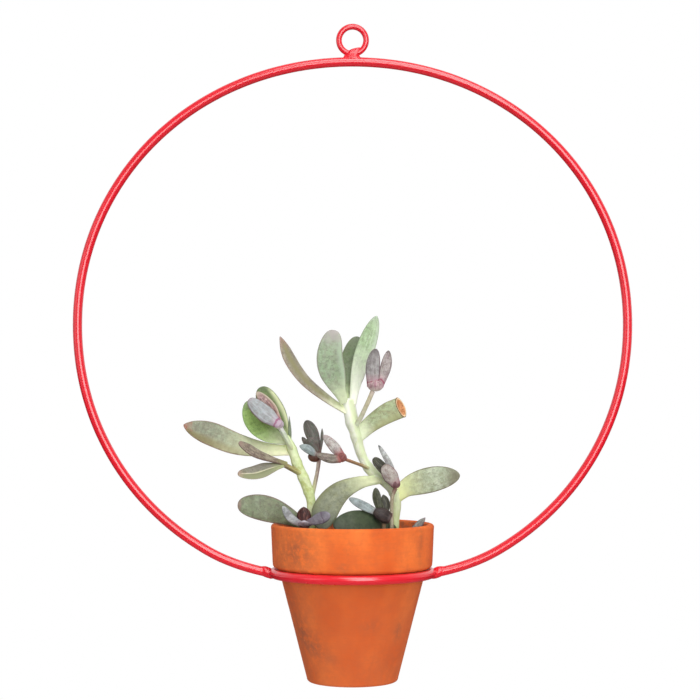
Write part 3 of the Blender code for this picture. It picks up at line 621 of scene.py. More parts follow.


def plant_skin(name, skin):
    """Waxy succulent skin: patches, stains and streaks, then painted light and shade on one side, and its
    base, tip and margin.
    """
    wax = Finish(name)
    across = wax.mark("across")
    growth = wax.use(
        GROWTH, Position=wax.place, Along=wax.mark("along"), Across=across, Base_Reach=skin.base_reach,
        Tip_Reach=skin.tip_reach, Margin_Reach=skin.margin_reach, Middle_Reach=skin.middle_reach,
        Band_Place=skin.band_place, Streak_Count=skin.streak_count,
    )
    cloud = wax.patches(large=0.007, small=0.0022, contrast=1.6)
    wax.first_coat(cloud, skin.blade, skin.patch)
    fine = wax.patches(large=0.0024, small=0.001, contrast=1.6)
    wax.coat(fine, skin.margin, 0.30)
    spread = wax.noise(wax.place, 0.0048, 4.0, 0.65)
    wax.coat(wax.ramp(spread, 0.48, 0.62, 0.0, skin.stain_share), skin.stain or skin.margin)
    wax.coat(wax.ramp(growth["Streak"], 0.48, 0.64, 0.0, skin.streak_share), skin.streak or skin.patch)
    flecks = wax.noise(wax.place, 0.0028, 6.0, 0.85)
    fleck = [FLECK_SHADE * value for value in skin.margin]
    wax.coat(wax.ramp(flecks, 0.49, 0.56, 0.0, skin.crispness), fleck)
    # Painted light and shade on one side of a blade or petal
    if skin.side:
        side_light_and_shade, start, stop, share = skin.side
        wax.coat(wax.ramp(across, start, stop, 0.0, share), side_light_and_shade)
    if skin.middle:
        wax.coat(growth["Middle"], skin.middle)
    wax.coat(growth["Base"], skin.base)
    if skin.band:
        wax.coat(growth["Band"], skin.band)
    wax.coat(growth["Tip"], skin.tip)
    edge = wax.times(growth["Margin"], wax.minus(1.0, wax.times(growth["Base"], 0.8)))
    wax.coat(edge, skin.margin, 0.9)
    wax.coat(wax.specks(spacing=0.0016, size=0.22, share=0.3), skin.margin, 0.2)
    relief = wax.plus(wax.times(growth["Streak"], 0.5), wax.times(fine, 0.5))
    return wax.finished(
        wax.ramp(cloud, 0.0, 1.0, 0.6, 0.42), relief, 0.4, 0.0003,
        Subsurface_Weight=0.08, Subsurface_Radius=(0.6, 1.0, 0.4), Subsurface_Scale=0.0012,
        Specular_IOR_Level=0.32, Sheen_Weight=0.03, Sheen_Roughness=0.5,
    )


# Steel hanger


def tube(path, radius, sides, uneven, closed=False):
    """A round rod along a path that lies in one plane."""
    rings = []
    last = len(path) - 1
    span = path[last // 3] - path[0]
    flat = span.cross(path[2 * last // 3] - path[0]).normalized()
    for index, here in enumerate(path):
        before = path[index - 1] if index or closed else here
        after = path[(index + 1) % len(path)] if index < last or closed else here
        side = flat.cross((after - before).normalized()).normalized()
        ring = []
        for angle in turns(sides):
            out = side * math.cos(angle) + flat * math.sin(angle)
            corner = here + out * radius
            ring.append((corner + out * (uneven * grain(corner, ROD_GRAIN)),))
        rings.append(ring)
    return Surface().loft(rings, () if closed else ((path[0],), (path[-1],)), closed)


def circle(height, radius, steps, way):
    """Points on a circle at a height on the middle axis, which spreads to the right and in a way."""
    points = []
    for angle in turns(steps):
        out = Vector((1, 0, 0)) * math.cos(angle) + way * math.sin(angle)
        points.append(Vector((0, 0, height)) + out * radius)
    return points


def hoop_path():
    """Middle line of the hoop from its left end over its top to its right end."""
    half_height = HOOP_HEIGHT / 2 - ROD_RADIUS
    middle = hoop_high.z - HOOP_HEIGHT / 2
    end = Vector((HOOP_END, 0, RING_MIDDLE))
    sine = ((end.x + HOOP_END_RUN) / HOOP_HALF_WIDTH) ** (HOOP_SQUARENESS / 2)
    last = math.pi - math.asin(sine)
    half = []
    for share in (0, *shares(HOOP_STEPS)):
        cosine = math.cos(last * share)
        across = HOOP_HALF_WIDTH * math.sin(last * share) ** (2 / HOOP_SQUARENESS)
        up = half_height * abs(cosine) ** (2 / HOOP_SQUARENESS)
        half.append(Vector((across, 0, middle + math.copysign(up, cosine))))
    start = half[-1]
    run = (end - start).length
    leave_way = (start - half[-2]).normalized() * run
    arrive_way = Vector((-1, 0, -HOOP_END_SLOPE)).normalized() * run
    half += [eased(start, leave_way, end, arrive_way, share) for share in shares(HOOP_END_STEPS)]
    return [Vector((-point.x, 0, point.z)) for point in reversed(half[1:])] + half


def bead(sections, sides, corner_at):
    """A weld bead from its cross sections, with the ripples of frozen metal."""
    rings = []
    for section in sections:
        ring = []
        for angle in turns(sides):
            corner, out = corner_at(section, angle)
            ring.append((corner + out * unevenness(corner, WELD_RIPPLES),))
        rings.append(ring)
    middles = [sum((corner for corner, in ring), Vector()) / sides for ring in (rings[0], rings[-1])]
    return Surface().loft(rings, [(middle,) for middle in middles])


def end_bead(side):
    """The bead round an end of the hoop, which swells where the rod meets the ring."""
    end = Vector((side * HOOP_END, 0, RING_MIDDLE))
    inward = Vector((-side, 0, -HOOP_END_SLOPE)).normalized()
    up = Vector((0, 1, 0)).cross(inward).normalized() * side

    def corner_at(section, angle):
        rise = -side * math.sin(angle)
        out = Vector((0, 1, 0)) * math.cos(angle) + up * rise
        lean = inward * (-END_BEAD_LEAN * rise * section.y)
        return end + inward * section.x + lean + out * section.y, out

    path = smooth_path([Vector((along, radius, 0)) for along, radius in END_BEAD], BEAD_STEPS)
    return bead(path, BEAD_SIDES, corner_at)


def eye_web():
    """The weld that fills the space between the eye and the hoop, with hollow flanks."""
    foot = hoop_high.z - ROD_RADIUS
    aside = smooth_path([Vector(section[:3]) for section in EYE_WEB], BEAD_STEPS)
    depths = smooth_path([Vector((section[3], 0, 0)) for section in EYE_WEB], BEAD_STEPS)
    highest = aside[-1].x
    across_power, deep_power = EYE_WEB_POWERS

    def corner_at(section, angle):
        middle, depth = section
        cosine, sine = math.cos(angle), math.sin(angle)
        across = math.copysign(abs(cosine) ** across_power, cosine) * middle.z
        deep = math.copysign(abs(sine) ** deep_power, sine) * depth.x
        slant = EYE_WEB_SLANT * (middle.y + across) * middle.x / highest
        out = Vector((cosine * depth.x, sine * middle.z, 0)).normalized()
        return Vector((middle.y + across, deep, foot + middle.x + slant)), out

    return bead(list(zip(aside, depths)), WEB_SIDES, corner_at)


def make_hanger():
    paint = red_coat(
        "red_powder_coat", smooth=0.26, dull=0.36, peel_size=0.0024, peel_depth=0.00001, shine=0.55)
    weld_paint = red_coat(
        "red_powder_coat_on_welds", smooth=0.3, dull=0.42, peel_size=0.0011, peel_depth=0.00025, shine=0.36)
    level = circle(RING_MIDDLE, RING_RADIUS, RING_STEPS, Vector((0, 1, 0)))
    ring = tube(level, ROD_RADIUS, ROD_SIDES, RING_UNEVENNESS, closed=True)
    upright = circle(EYE_MIDDLE, EYE_RADIUS, EYE_STEPS, Vector((0, 0, 1)))
    eye = tube(upright, WIRE_RADIUS, WIRE_SIDES, ROD_UNEVENNESS, closed=True)
    for name, surface, coat, node in (
        ("bent_hoop", tube(hoop_path(), ROD_RADIUS, ROD_SIDES, ROD_UNEVENNESS), paint, "hoop"),
        ("welded_ring", ring, paint, "pot_ring"),
        ("wire_eye", eye, paint, "hanging_eye"),
        ("eye_bead", eye_web(), weld_paint, "eye_weld"),
        ("left_bead", end_bead(-1), weld_paint, "left_weld"),
        ("right_bead", end_bead(1), weld_paint, "right_weld"),
    ):
        piece(name, surface, coat, "hanger", "red_paint", node)


# Pot and soil


def side_radius(height):
    """Outside radius of the pot below its collar, at a height over its base."""
    return BASE_RADIUS + (COLLAR_FOOT - COLLAR_STEP - BASE_RADIUS) * height / COLLAR_BOTTOM


def pot_outline():
    """The pot's closed outline of radius and height over its base, from the drain hole round."""
    top = POT_HEIGHT - LIP_ROUND
    collar = COLLAR_BOTTOM + COLLAR_ROUND
    neck = side_radius(COLLAR_BOTTOM) - POT_WALL
    outline = [(DRAIN_RADIUS, 0.0), ((DRAIN_RADIUS + BASE_RADIUS) / 2, 0.0)]
    outline += arc(side_radius(BASE_ROUND) - BASE_ROUND, BASE_ROUND, BASE_ROUND, -90, ROUND_STEPS)
    for share in shares(SIDE_STEPS):
        height = BASE_ROUND + (COLLAR_BOTTOM - BASE_ROUND) * share
        outline.append((side_radius(height), height))
    outline += arc(COLLAR_FOOT - COLLAR_ROUND, collar, COLLAR_ROUND, -90, ROUND_STEPS + 2)
    for share in shares(COLLAR_STEPS)[:-1]:
        height = collar + (top - collar) * share
        outline.append((COLLAR_FOOT + COLLAR_FLARE * (height - COLLAR_BOTTOM) / COLLAR_HEIGHT, height))
    outline += arc(RIM_RADIUS - LIP_ROUND, top, LIP_ROUND, 0, ROUND_STEPS)
    outline += arc(LIP + LIP_ROUND, top, LIP_ROUND, 90, ROUND_STEPS)
    for share in shares(WALL_STEPS):
        outline.append((LIP + (neck - LIP) * share, top + (COLLAR_BOTTOM - top) * share))
    outline.append((side_radius(POT_FLOOR) - POT_WALL, POT_FLOOR))
    outline.append((DRAIN_RADIUS, POT_FLOOR))
    return outline


def inner_limit(height):
    """A radius between the inside and the outside of the pot, at a height over its base."""
    return side_radius(height) - POT_WALL / 2 if height < COLLAR_BOTTOM else LIP + LIP_ROUND / 4


def smudge_and_shade_at(corner):
    """How dark the clay is at a corner of the pot: the kiln's smudges, and painted shade down its left side.
    """
    radius = math.hypot(corner.x, corner.y) * 1000
    height = (corner.z - pot_low.z) * 1000
    azimuth = math.atan2(corner.x, -corner.y)
    total = 0.0
    for degrees, middle, half_width, half_height, strength in SMUDGES_AND_SHADE:
        across = math.remainder(azimuth - math.radians(degrees), math.tau) * radius / half_width
        up = (height - middle) / half_height
        total += strength * math.exp(-(across**2) - up**2)
    return min(total, 1.0)


def make_pot():
    rings = []
    outline = pot_outline()[::-1]
    for angle in turns(POT_STEPS):
        ring = []
        for radius, height in outline:
            corner = around(radius, angle, pot_low.z + height)
            inside = height > POT_FLOOR and radius < inner_limit(height)
            hollow = min(unevenness(corner, CLAY_WOBBLE), 0.0)
            # Inside the pot the clay gets painted shade; outside, its smudges and the painted shade down its
            # left side
            smudge_and_shade = INNER_PAINTED_SHADE if inside else smudge_and_shade_at(corner)
            ring.append((corner + around(1, angle, 0) * hollow, smudge_and_shade))
        rings.append(ring)
    surface = Surface("smudge_and_shade").loft(rings, closed=True)
    piece("clay_pot", surface, terracotta(), "pot", "terracotta", "pot")


def make_soil():
    """The root ball under the uneven top of the soil, and the crumbs that lie on it."""
    rings = []
    for radius, height in (
        (side_radius(POT_FLOOR) - POT_WALL - BALL_GAP, SOIL_FOOT),
        (SOIL_RIM - EDGE_GAP, SOIL_LEVEL - SOIL_EDGE),
    ):
        rings.append([(around(radius, angle, height),) for angle in turns(SOIL_SIDES)])
    for step in range(SOIL_RINGS):
        share = 1 - step / SOIL_RINGS
        ring = [around(SOIL_RIM * share, angle, SOIL_LEVEL) for angle in turns(SOIL_SIDES)]
        for corner in ring:
            corner.z += SOIL_CROWN * (1 - share**2) + unevenness(corner, SOIL_LUMPS)
        rings.append([(corner,) for corner in ring])
    earth = potting_mix()
    ends = ((Vector((0, 0, SOIL_FOOT)),), (Vector((0, 0, SOIL_LEVEL + SOIL_CROWN)),))
    ball = Surface().loft(rings, ends)
    piece("root_ball", ball, earth, "plant", "soil", "soil")
    seeded = random.Random(CRUMB_SEED)
    crumbs = Surface()
    for _ in range(CRUMBS):
        reach = SOIL_RIM * CRUMB_SPREAD * math.sqrt(seeded.random())
        angle = math.tau * seeded.random()
        size = CRUMB_SIZE + CRUMB_SIZE_RANGE * seeded.random() ** 2
        height = SOIL_LEVEL + CRUMB_CROWN * (1 - (reach / SOIL_RIM) ** 2)
        add_crumb(crumbs, around(reach, angle, height), size, seeded)
    piece("soil_crumbs", crumbs, earth, "plant", "soil")


def add_crumb(surface, place, size, seeded):
    """One crumb: a small squashed lump with flats."""
    stretch = [size * (CRUMB_STRETCH + CRUMB_STRETCH_RANGE * seeded.random()) for _ in range(3)]
    turn = Matrix.Rotation(math.tau * seeded.random(), 3, "Z")
    seed = 50 * seeded.random()
    stretch[2] *= CRUMB_FLATNESS
    rings = []
    for share in shares(CRUMB_RINGS)[:-1]:
        ring = []
        for angle in turns(CRUMB_SIDES):
            out = around(math.sin(math.pi * share), angle, -math.cos(math.pi * share))
            corner = turn @ Vector([a * b for a, b in zip(out, stretch)])
            ring.append((place + corner * (1 + CRUMB_LUMPS * grain(out, CRUMB_GRAIN, seed)),))
        rings.append(ring)
    tip = Vector((0, 0, stretch[2]))
    surface.loft(rings, ((place - tip,), (place + tip,)))


# Plant


def grown(points):
    """The plant's own points in metres of the frame."""
    return [Vector(point) * MM + Vector((0, 0, RIM_PLANE)) for point in points]


def growth_surface(rings, start, stop):
    """The surface of a stem, a blade or a cup, with how far along and across each corner is."""
    return Surface("along", "across").loft(rings, ((start, 0.0, 0.0), (stop, 1.0, 0.0)))


@dataclass
class Stem:
    """A round stem or stalk, with its radius at each of its points and swollen rings along it."""

    points: tuple
    radii: tuple
    skin: Skin
    knots: tuple = ()

    def surface(self, seed):
        path = smooth_path(grown(self.points), SPINE_STEPS)
        rings = []
        side = Vector((0, 1, 0))
        for share in (0, *shares(STEM_STATIONS * len(self.points))):
            here, way = along_path(path, share)
            side = (side - way * side.dot(way)).normalized()
            front = way.cross(side)
            place = share * (len(self.radii) - 1)
            index = min(int(place), len(self.radii) - 2)
            start, stop = self.radii[index:index + 2]
            radius = start + (stop - start) * smooth_step(0, 1, place - index)
            for knot in self.knots:
                radius += KNOT_SWELL * math.exp(-(((share - knot) / KNOT_REACH) ** 2))
            ring = []
            for angle in turns(STEM_SIDES):
                out = side * math.cos(angle) + front * math.sin(angle)
                ridge = STEM_RIDGE * math.sin(STEM_RIDGES * angle + STEM_TWIST * share + seed)
                rough = SKIN_ROUGHNESS * grain(here + out * radius * MM, STEM_GRAIN, seed)
                corner = here + out * (radius * (1 + ridge) + rough) * MM
                ring.append((corner, share, math.sin(angle + seed)))
            rings.append(ring)
        return growth_surface(rings, path[0], path[-1] + way * self.radii[-1] * STEM_END * MM)


@dataclass
class Blade:
    """A leaf or a petal, lofted along its spine."""

    spine: tuple
    width: float
    thickness: float
    skin: Skin
    facing: tuple = (0, -1, 0)
    base: float = 0.4  # its width where it starts, as a share of its widest
    widest: float = 0.6  # how far along it is widest
    tip: float = 0.5  # 0.5 ends round, and 1 ends in a point
    cup: float = 0.0  # how far its edges stand up, as a share of half its width
    fold: float = 0.0  # the same, with a crease along its middle
    groove: float = 0.12  # how deep its middle is sunk at its base, as a share of its thickness
    cut: bool = False  # it ends in a cut
    wave: float = 0.25  # how far its edges wander, in the plant's millimetres
    slant: float = 0.0  # how far back the cut leans, for each millimetre forward

    def share_of_width(self, along):
        if along < self.widest:
            rise = 0.5 - 0.5 * math.cos(math.pi * along / self.widest)
            return self.base + (1 - self.base) * rise
        if self.cut:
            return 1.0
        beyond = (along - self.widest) / (1 - self.widest)
        return max(1 - beyond**2, 0.0) ** self.tip

    def surface(self, seed, stations=BLADE_STATIONS, sides=BLADE_SIDES):
        path = smooth_path(grown(self.spine), SPINE_STEPS)
        rings = []
        for station in range(stations):
            along = 0.5 - 0.5 * math.cos(math.pi * station / stations)
            if self.cut:
                along = station / (stations - 1)
            here, way = along_path(path, along)
            side = Vector(self.facing).cross(way).normalized()
            front = way.cross(side)
            share = self.share_of_width(along)
            half_width = self.width / 2 * share
            swell = 1 + BASE_SWELL * (1 - smooth_step(0, BASE_SWELL_REACH, along))
            half_depth = self.thickness / 2 * (share**0.5 if along > self.widest else swell)
            ring = []
            for angle in turns(sides):
                across = math.cos(angle)
                lens = (1 - across**2) ** LENS_POWER * math.copysign(1, math.sin(angle))
                raised = half_depth * lens * (FRONT_FULLNESS if lens > 0 else 1.0)
                raised += (self.cup * across**2 + self.fold * abs(across) ** FOLD_POWER) * half_width
                if lens > 0:
                    sunk = self.groove * self.thickness * math.exp(-((across / GROOVE_WIDTH) ** 2))
                    raised -= sunk * (1 - along)
                ripple = math.sin(WAVES_ALONG * along + WAVES_ACROSS * across + seed)
                raised += self.wave * across**2 * ripple * share
                corner = here + (side * across * half_width + front * raised) * MM
                corner += front * (SKIN_ROUGHNESS * MM * grain(corner, BLADE_GRAIN, seed))
                corner -= way * (self.slant * raised * smooth_step(CUT_REACH, 1.0, along) * MM)
                ring.append((corner, along, across))
            rings.append(ring)
        return growth_surface(rings, path[0], path[-1])


# The pale stem's darker lime base is partly its own colour and partly painted shade on its lower bend
STEM_PALE = Skin((243, 249, 222), (248, 251, 234), (170, 184, 100), (250, 253, 238), (220, 232, 188),
                 base_reach=0.56, tip_reach=0.2, margin_reach=0.3, crispness=0.08, streak=(244, 249, 230),
                 stain=(216, 230, 162), stain_share=0.4)
STEM_LIME = Skin((216, 230, 164), (230, 240, 194), (186, 202, 122), (226, 238, 194), (190, 206, 130),
                 base_reach=0.35, tip_reach=0.4, margin_reach=0.3, crispness=0.14, streak=(232, 240, 200),
                 stain=(182, 194, 100), stain_share=0.55)
# STALK_PALE and STALK_TAN have pale bases, partly their own colour and partly painted light against the shade
# where they leave the stem
STALK_PALE = Skin((190, 200, 178), (206, 212, 196), (228, 238, 186), (208, 204, 206), (168, 178, 154),
                  base_reach=0.85, tip_reach=0.35, crispness=0.15)
STALK_OLIVE = Skin((178, 172, 112), (152, 138, 90), (216, 222, 146), (124, 106, 82), (120, 98, 74),
                   base_reach=0.6, tip_reach=0.42, middle=(196, 188, 126))
STALK_MAUVE = Skin((176, 158, 146), (190, 176, 160), (214, 220, 162), (158, 124, 118), (146, 124, 116),
                   base_reach=0.66, crispness=0.15)
STALK_ORANGE = Skin((180, 154, 106), (158, 124, 92), (220, 228, 176), (176, 116, 92), (134, 102, 76),
                    base_reach=0.66, tip_reach=0.3, crispness=0.2)
STALK_TAN = Skin((200, 190, 156), (212, 206, 178), (240, 247, 218), (204, 188, 176), (186, 176, 146),
                 base_reach=0.8, crispness=0.15)
STALK_PINK = Skin((188, 178, 150), (200, 192, 168), (168, 160, 108), (126, 92, 84), (160, 144, 120),
                  tip_reach=0.24)

STEMS = {
    "left_stem": Stem(
        ((-26, 0, -30), (-27, 0, -10), (-28, 0, 3), (-28.2, 0, 15.5), (-31.8, 0, 27.5), (-37, 0, 39.5),
         (-41.3, 0, 51), (-45.3, 0, 59)),
        (2.6, 3.2, 3.2, 3.1, 3.6, 3.3, 3.2, 2.6), STEM_LIME, knots=(0.50, 0.62, 0.74, 0.85)),
    "right_stem": Stem(
        ((28, 4, -32), (28.5, 4, -12), (29, 4, 2), (29.8, 4, 13), (28.3, 4, 21.5), (21.8, 4, 28.2),
         (13.2, 4, 35.5), (7.8, 4, 43.5), (4.6, 4, 52), (2.4, 4, 61), (-0.3, 4, 70), (-3, 4, 84)),
        (2.8, 3.2, 3.0, 3.5, 3.5, 3.1, 3.6, 3.2, 3.5, 4.0, 4.6, 4.4), STEM_PALE,
        knots=(0.36, 0.58, 0.80, 0.9)),
    "left_bud_stalk": Stem(
        ((-40.5, 0, 49), (-42.7, -4.8, 54), (-46, -6.4, 60), (-49, -6.5, 65.5)),
        (1.6, 1.7, 1.7, 1.7), STALK_PALE),
    "side_stalk": Stem(
        ((-33, 0, 33.5), (-38, -2.5, 35.8), (-43.3, -5.5, 38.6), (-48.6, -7, 41.4)),
        (2.3, 2.0, 1.8, 1.7), STALK_OLIVE),
    "dark_bud_stalk": Stem(
        ((-28.2, 0, 16), (-25.9, 2.4, 26), (-24, 4.4, 35.4), (-22.9, 5, 43.4)),
        (1.5, 1.4, 1.3, 1.4), STALK_MAUVE),
    "red_bud_stalk": Stem(
        ((12.4, 4, 37), (8.6, -2, 38.8), (2, -7, 41.5), (-4.5, -10, 44)), (1.2, 1.2, 1.1, 1.1), STALK_ORANGE),
    "twin_bud_stalk": Stem(
        ((1.5, 4, 65), (5.2, -4, 71.5), (9.7, -11, 81), (13.6, -13.5, 90)), (1.6, 1.6, 1.5, 1.5), STALK_TAN),
    "right_bud_stalk": Stem(
        ((26, -7, -26), (26.5, -8, -12), (26.5, -8.5, 5), (26.8, -8.5, 18), (29, -9, 24.5)),
        (1.4, 1.4, 1.3, 1.3, 1.5), STALK_PINK),
    "lower_bud_stalk": Stem(((20.5, -14, -26), (21, -15, -12), (21, -15, 1)), (1.4, 1.4, 1.4), STALK_OLIVE),
    "open_bud_stalk": Stem(
        ((-30, -26, -26), (-31, -26.5, -12), (-31.5, -27, -2.2)), (1.4, 1.4, 1.4), STALK_OLIVE),
}

# Each blade's side colour is painted light and shade on that side
LEAVES = {
    # Near-white blade bases are partly their own pale colour and partly painted light, brightened where they
    # meet the stems
    "left_long_leaf": Blade(
        ((-41, 1, 49.8), (-60.4, 6, 50.2), (-79.7, 10, 53.7), (-98.5, 14, 61), (-116.6, 16, 67)), 17.6, 3.4,
        Skin((154, 160, 138), (134, 144, 120), (250, 254, 210), (164, 118, 102), (136, 112, 94),
             base_reach=0.78, tip_reach=0.1, stain=(166, 184, 154), side=((132, 122, 82), 0.1, 0.65, 0.85)),
        facing=(0.1, -1, 0.4), base=0.44, widest=0.7, tip=0.7, cup=0.1),
    "left_back_leaf": Blade(
        ((-44, 3, 57), (-49.5, 9, 68.5), (-56.8, 15.5, 80.5), (-63.4, 20, 93.2)), 17, 3.0,
        Skin((90, 112, 60), (114, 132, 80), (190, 206, 146), (96, 112, 76), (106, 120, 78),
             side=((224, 230, 184), -0.35, -0.85, 0.9)),
        facing=(0.3, -1, 0.2), base=0.3, widest=0.62, tip=0.44),
    "left_cupped_leaf": Blade(
        ((-43.5, -0.4, 55.4), (-56, 2, 60.3), (-66.4, 6, 70.3), (-72, 7, 83.5)), 18, 2.8,
        Skin((146, 176, 96), (160, 192, 112), (202, 210, 172), (136, 156, 110), (122, 152, 86),
             base_reach=0.56, stain=(164, 196, 124)),
        facing=(0.35, -1, 0.35), base=0.3, widest=0.55, cup=0.12),
    "left_spike": Blade(
        ((-42.6, 0.5, 55), (-42.6, 0, 61), (-42.9, 0, 67), (-43.1, 0, 73.5)), 2.3, 1.7,
        Skin((142, 154, 132), (122, 136, 112), (176, 194, 146), (136, 126, 116), (112, 118, 98)),
        base=0.8, widest=0.4, tip=0.9, wave=0.0),
    "brown_edge_leaf": Blade(
        ((-44.6, -5.4, 40.6), (-56.4, -10.7, 45.0), (-66.2, -15.5, 49.2), (-76.3, -19, 55.8)), 10.8, 2.8,
        Skin((154, 140, 124), (170, 160, 140), (146, 142, 96), (150, 128, 116), (92, 70, 62),
             base_reach=0.24, tip_reach=0.1, margin_reach=0.16, streak=(112, 96, 90)),
        facing=(-0.3, -0.75, 1), base=0.42, widest=0.55, tip=0.4),
    "left_folded_leaf": Blade(
        ((-46.8, -7.6, 40.2), (-56.2, -10, 37.6), (-66, -11.5, 34.6), (-77.5, -12, 34.3)), 10.4, 2.2,
        Skin((162, 158, 144), (144, 142, 126), (160, 168, 118), (168, 146, 128), (138, 128, 108),
             middle=(220, 216, 184), middle_reach=0.14, side=((146, 150, 114), -0.1, 0.1, 1.0),
             stain=(136, 136, 104)),
        facing=(0, -1, 0.45), base=0.42, widest=0.52, tip=0.46, fold=0.32),
    "lower_left_leaf": Blade(
        ((-28, -1, -4), (-43, -5, 4.9), (-59.6, -8, 11), (-77.6, -10, 13.7)), 17.6, 3.4,
        Skin((136, 148, 116), (114, 126, 96), (134, 144, 96), (138, 122, 108), (122, 102, 92),
             tip_reach=0.06, stain=(150, 168, 138)),
        facing=(0, -1, 0.1), base=0.36, widest=0.66, tip=0.44),
    "right_long_leaf": Blade(
        ((-2, 4, 75), (-17.5, 0.5, 84.9), (-32.3, -6, 96.9), (-42.3, -11.5, 111), (-48.9, -15, 127)),
        12, 3.0,
        Skin((174, 166, 148), (154, 150, 130), (236, 244, 204), (166, 138, 126), (150, 128, 118),
             base_reach=0.4, middle=(150, 144, 108), middle_reach=0.75, stain=(160, 152, 122)),
        facing=(0.25, -0.75, 0.75), base=0.5, widest=0.65, tip=0.8, cup=0.12),
    "round_leaf": Blade(
        ((-5.6, 0.8, 82.4), (-11.3, -4.5, 96.5), (-15.4, -10.5, 112.5), (-12.7, -14, 131.3)), 18.4, 3.4,
        Skin((174, 196, 162), (158, 180, 144), (214, 225, 186), (182, 176, 170), (150, 150, 134),
             base_reach=0.46, tip_reach=0.24, side=((188, 208, 180), -0.3, -0.9, 0.8)),
        facing=(0.12, -1, 0.05), base=0.34, widest=0.56, tip=0.38, cup=0.06),
    "dark_leaf": Blade(
        ((-4, 7, 82.5), (-2.8, 13.5, 98), (-0.4, 20, 113.4), (3.8, 24, 128.2)), 15, 2.8,
        Skin((104, 122, 86), (124, 142, 106), (206, 220, 172), (122, 134, 108), (122, 128, 106),
             base_reach=0.36),
        facing=(-0.1, -1, 0.1), base=0.34, tip=0.45),
    "tall_leaf": Blade(
        ((0, 3.2, 81.5), (3.6, 5.7, 102), (9.6, 9.3, 121.5), (16.7, 13, 142)), 13, 3.4,
        Skin((180, 204, 162), (162, 190, 142), (248, 252, 234), (174, 190, 164), (154, 172, 138),
             base_reach=0.76, tip_reach=0.12, streak=(204, 222, 188),
             side=((190, 202, 182), -0.4, -0.95, 0.8)),
        facing=(-0.15, -1, -0.1), base=0.42, widest=0.62, tip=0.6),
    "edge_leaf": Blade(
        ((0.6, 7.4, 80), (3.3, 11, 91.5), (7.6, 13, 101), (11, 14, 110)), 10, 1.8,
        Skin((150, 138, 106), (164, 160, 130), (190, 206, 140), (126, 100, 88), (120, 98, 84)),
        facing=(1, -0.1, -0.25), base=0.4, widest=0.5, tip=0.7),
    "cut_leaf": Blade(
        ((3, 3.5, 59.5), (13.5, 4.5, 68.5), (24, 6.5, 75.2), (33, 9, 79)), 14.4, 4.0,
        Skin((184, 198, 156), (166, 180, 136), (240, 248, 214), (170, 182, 146), (150, 148, 112),
             base_reach=0.4, tip_reach=0.02, stain=(152, 142, 102), side=((168, 170, 122), -0.1, -0.8, 0.7)),
        facing=(0, -1, 0.1), base=0.7, widest=0.8, cut=True, slant=1.7),
    "right_leaf": Blade(
        ((30.5, 3.5, 19), (39.5, 0, 25.8), (55.2, -6, 30.6), (72.5, -11, 33.4)), 17.4, 3.6,
        Skin((206, 216, 190), (184, 196, 168), (244, 251, 184), (122, 120, 98), (118, 112, 88),
             base_reach=0.66, tip_reach=0.3, stain=(168, 174, 136), stain_share=0.35, crispness=0.34),
        facing=(0, -1, 0.15), base=0.56, tip=0.55, cup=0.05),
    "arching_leaf": Blade(
        ((19, 2.5, 30), (4.6, -2.8, 27.9), (-8.6, -9.2, 21.9), (-17.6, -13.8, 11), (-21.7, -18, -2.7)),
        17.8, 3.4,
        Skin((152, 158, 132), (132, 138, 116), (232, 240, 192), (100, 106, 88), (118, 118, 88),
             base_reach=0.54, tip_reach=0.34, stain=(132, 134, 96), side=((118, 122, 84), -0.4, -0.95, 0.75)),
        facing=(0, -1, 0.25), base=0.36, widest=0.78, cup=0.05),
    "rim_leaf": Blade(
        ((29, 2, -4), (17, -12, 1), (2, -20.5, 2), (-13, -24, 0)), 17.5, 3.2,
        Skin((54, 68, 48), (68, 80, 56), (76, 88, 58), (56, 66, 50), (74, 84, 60)),
        facing=(0, -1, 0.35), base=0.34),
    "sprout": Blade(
        ((37, -15, -16), (40, -15.5, -8), (44.5, -16, 0), (49, -16.5, 5.3)), 6.5, 2.2,
        Skin((152, 156, 150), (136, 142, 134), (150, 160, 130), (140, 126, 126), (104, 88, 88),
             side=((110, 94, 94), -0.3, -0.8, 0.8)),
        base=0.7, widest=0.4, tip=0.8, wave=0.1),
}

LILAC = Skin((176, 182, 184), (158, 166, 168), (190, 168, 184), (164, 154, 158), (128, 100, 90),
             streak=(196, 200, 206), stain_share=0.12, band=(160, 104, 132), band_place=0.1,
             crispness=0.14)
# LILAC_REAR's pale side colour is painted light on that side
LILAC_REAR = Skin((170, 130, 124), (200, 172, 168), (170, 112, 118), (190, 176, 154), (112, 80, 76),
                  streak=(92, 62, 58), streak_share=0.85, streak_count=11.0,
                  side=((214, 204, 178), -0.4, -0.9, 0.8))
DARK = Skin((96, 102, 92), (74, 77, 69), (108, 70, 62), (84, 82, 76), (118, 90, 92), streak=(128, 132, 122),
            stain_share=0.2, crispness=0.34)
BLUE_PALE = Skin((164, 178, 178), (140, 154, 154), (148, 130, 120), (134, 142, 142), (92, 88, 88),
                 streak=(184, 196, 196), stain_share=0.2, crispness=0.2)
STRIPED = Skin((208, 205, 201), (186, 182, 176), (164, 96, 96), (170, 158, 156), (138, 92, 94),
               base_reach=0.42, streak=(150, 152, 142), streak_share=0.7)
PATTERNED = Skin((142, 132, 118), (104, 96, 84), (158, 88, 82), (122, 110, 104), (88, 68, 64),
                 base_reach=0.28, streak=(164, 156, 144), streak_share=0.8, stain=(150, 130, 122))
MAUVE = Skin((170, 168, 166), (150, 147, 145), (194, 150, 160), (104, 96, 96), (104, 82, 86),
             base_reach=0.38, tip_reach=0.22, streak=(184, 181, 179), band=(150, 74, 96),
             stain=(146, 140, 140), crispness=0.26)
MAUVE_PALE = Skin((186, 178, 174), (164, 156, 152), (194, 156, 164), (110, 98, 96), (122, 96, 100),
                  base_reach=0.38, streak=(200, 194, 190), band=(158, 86, 104))
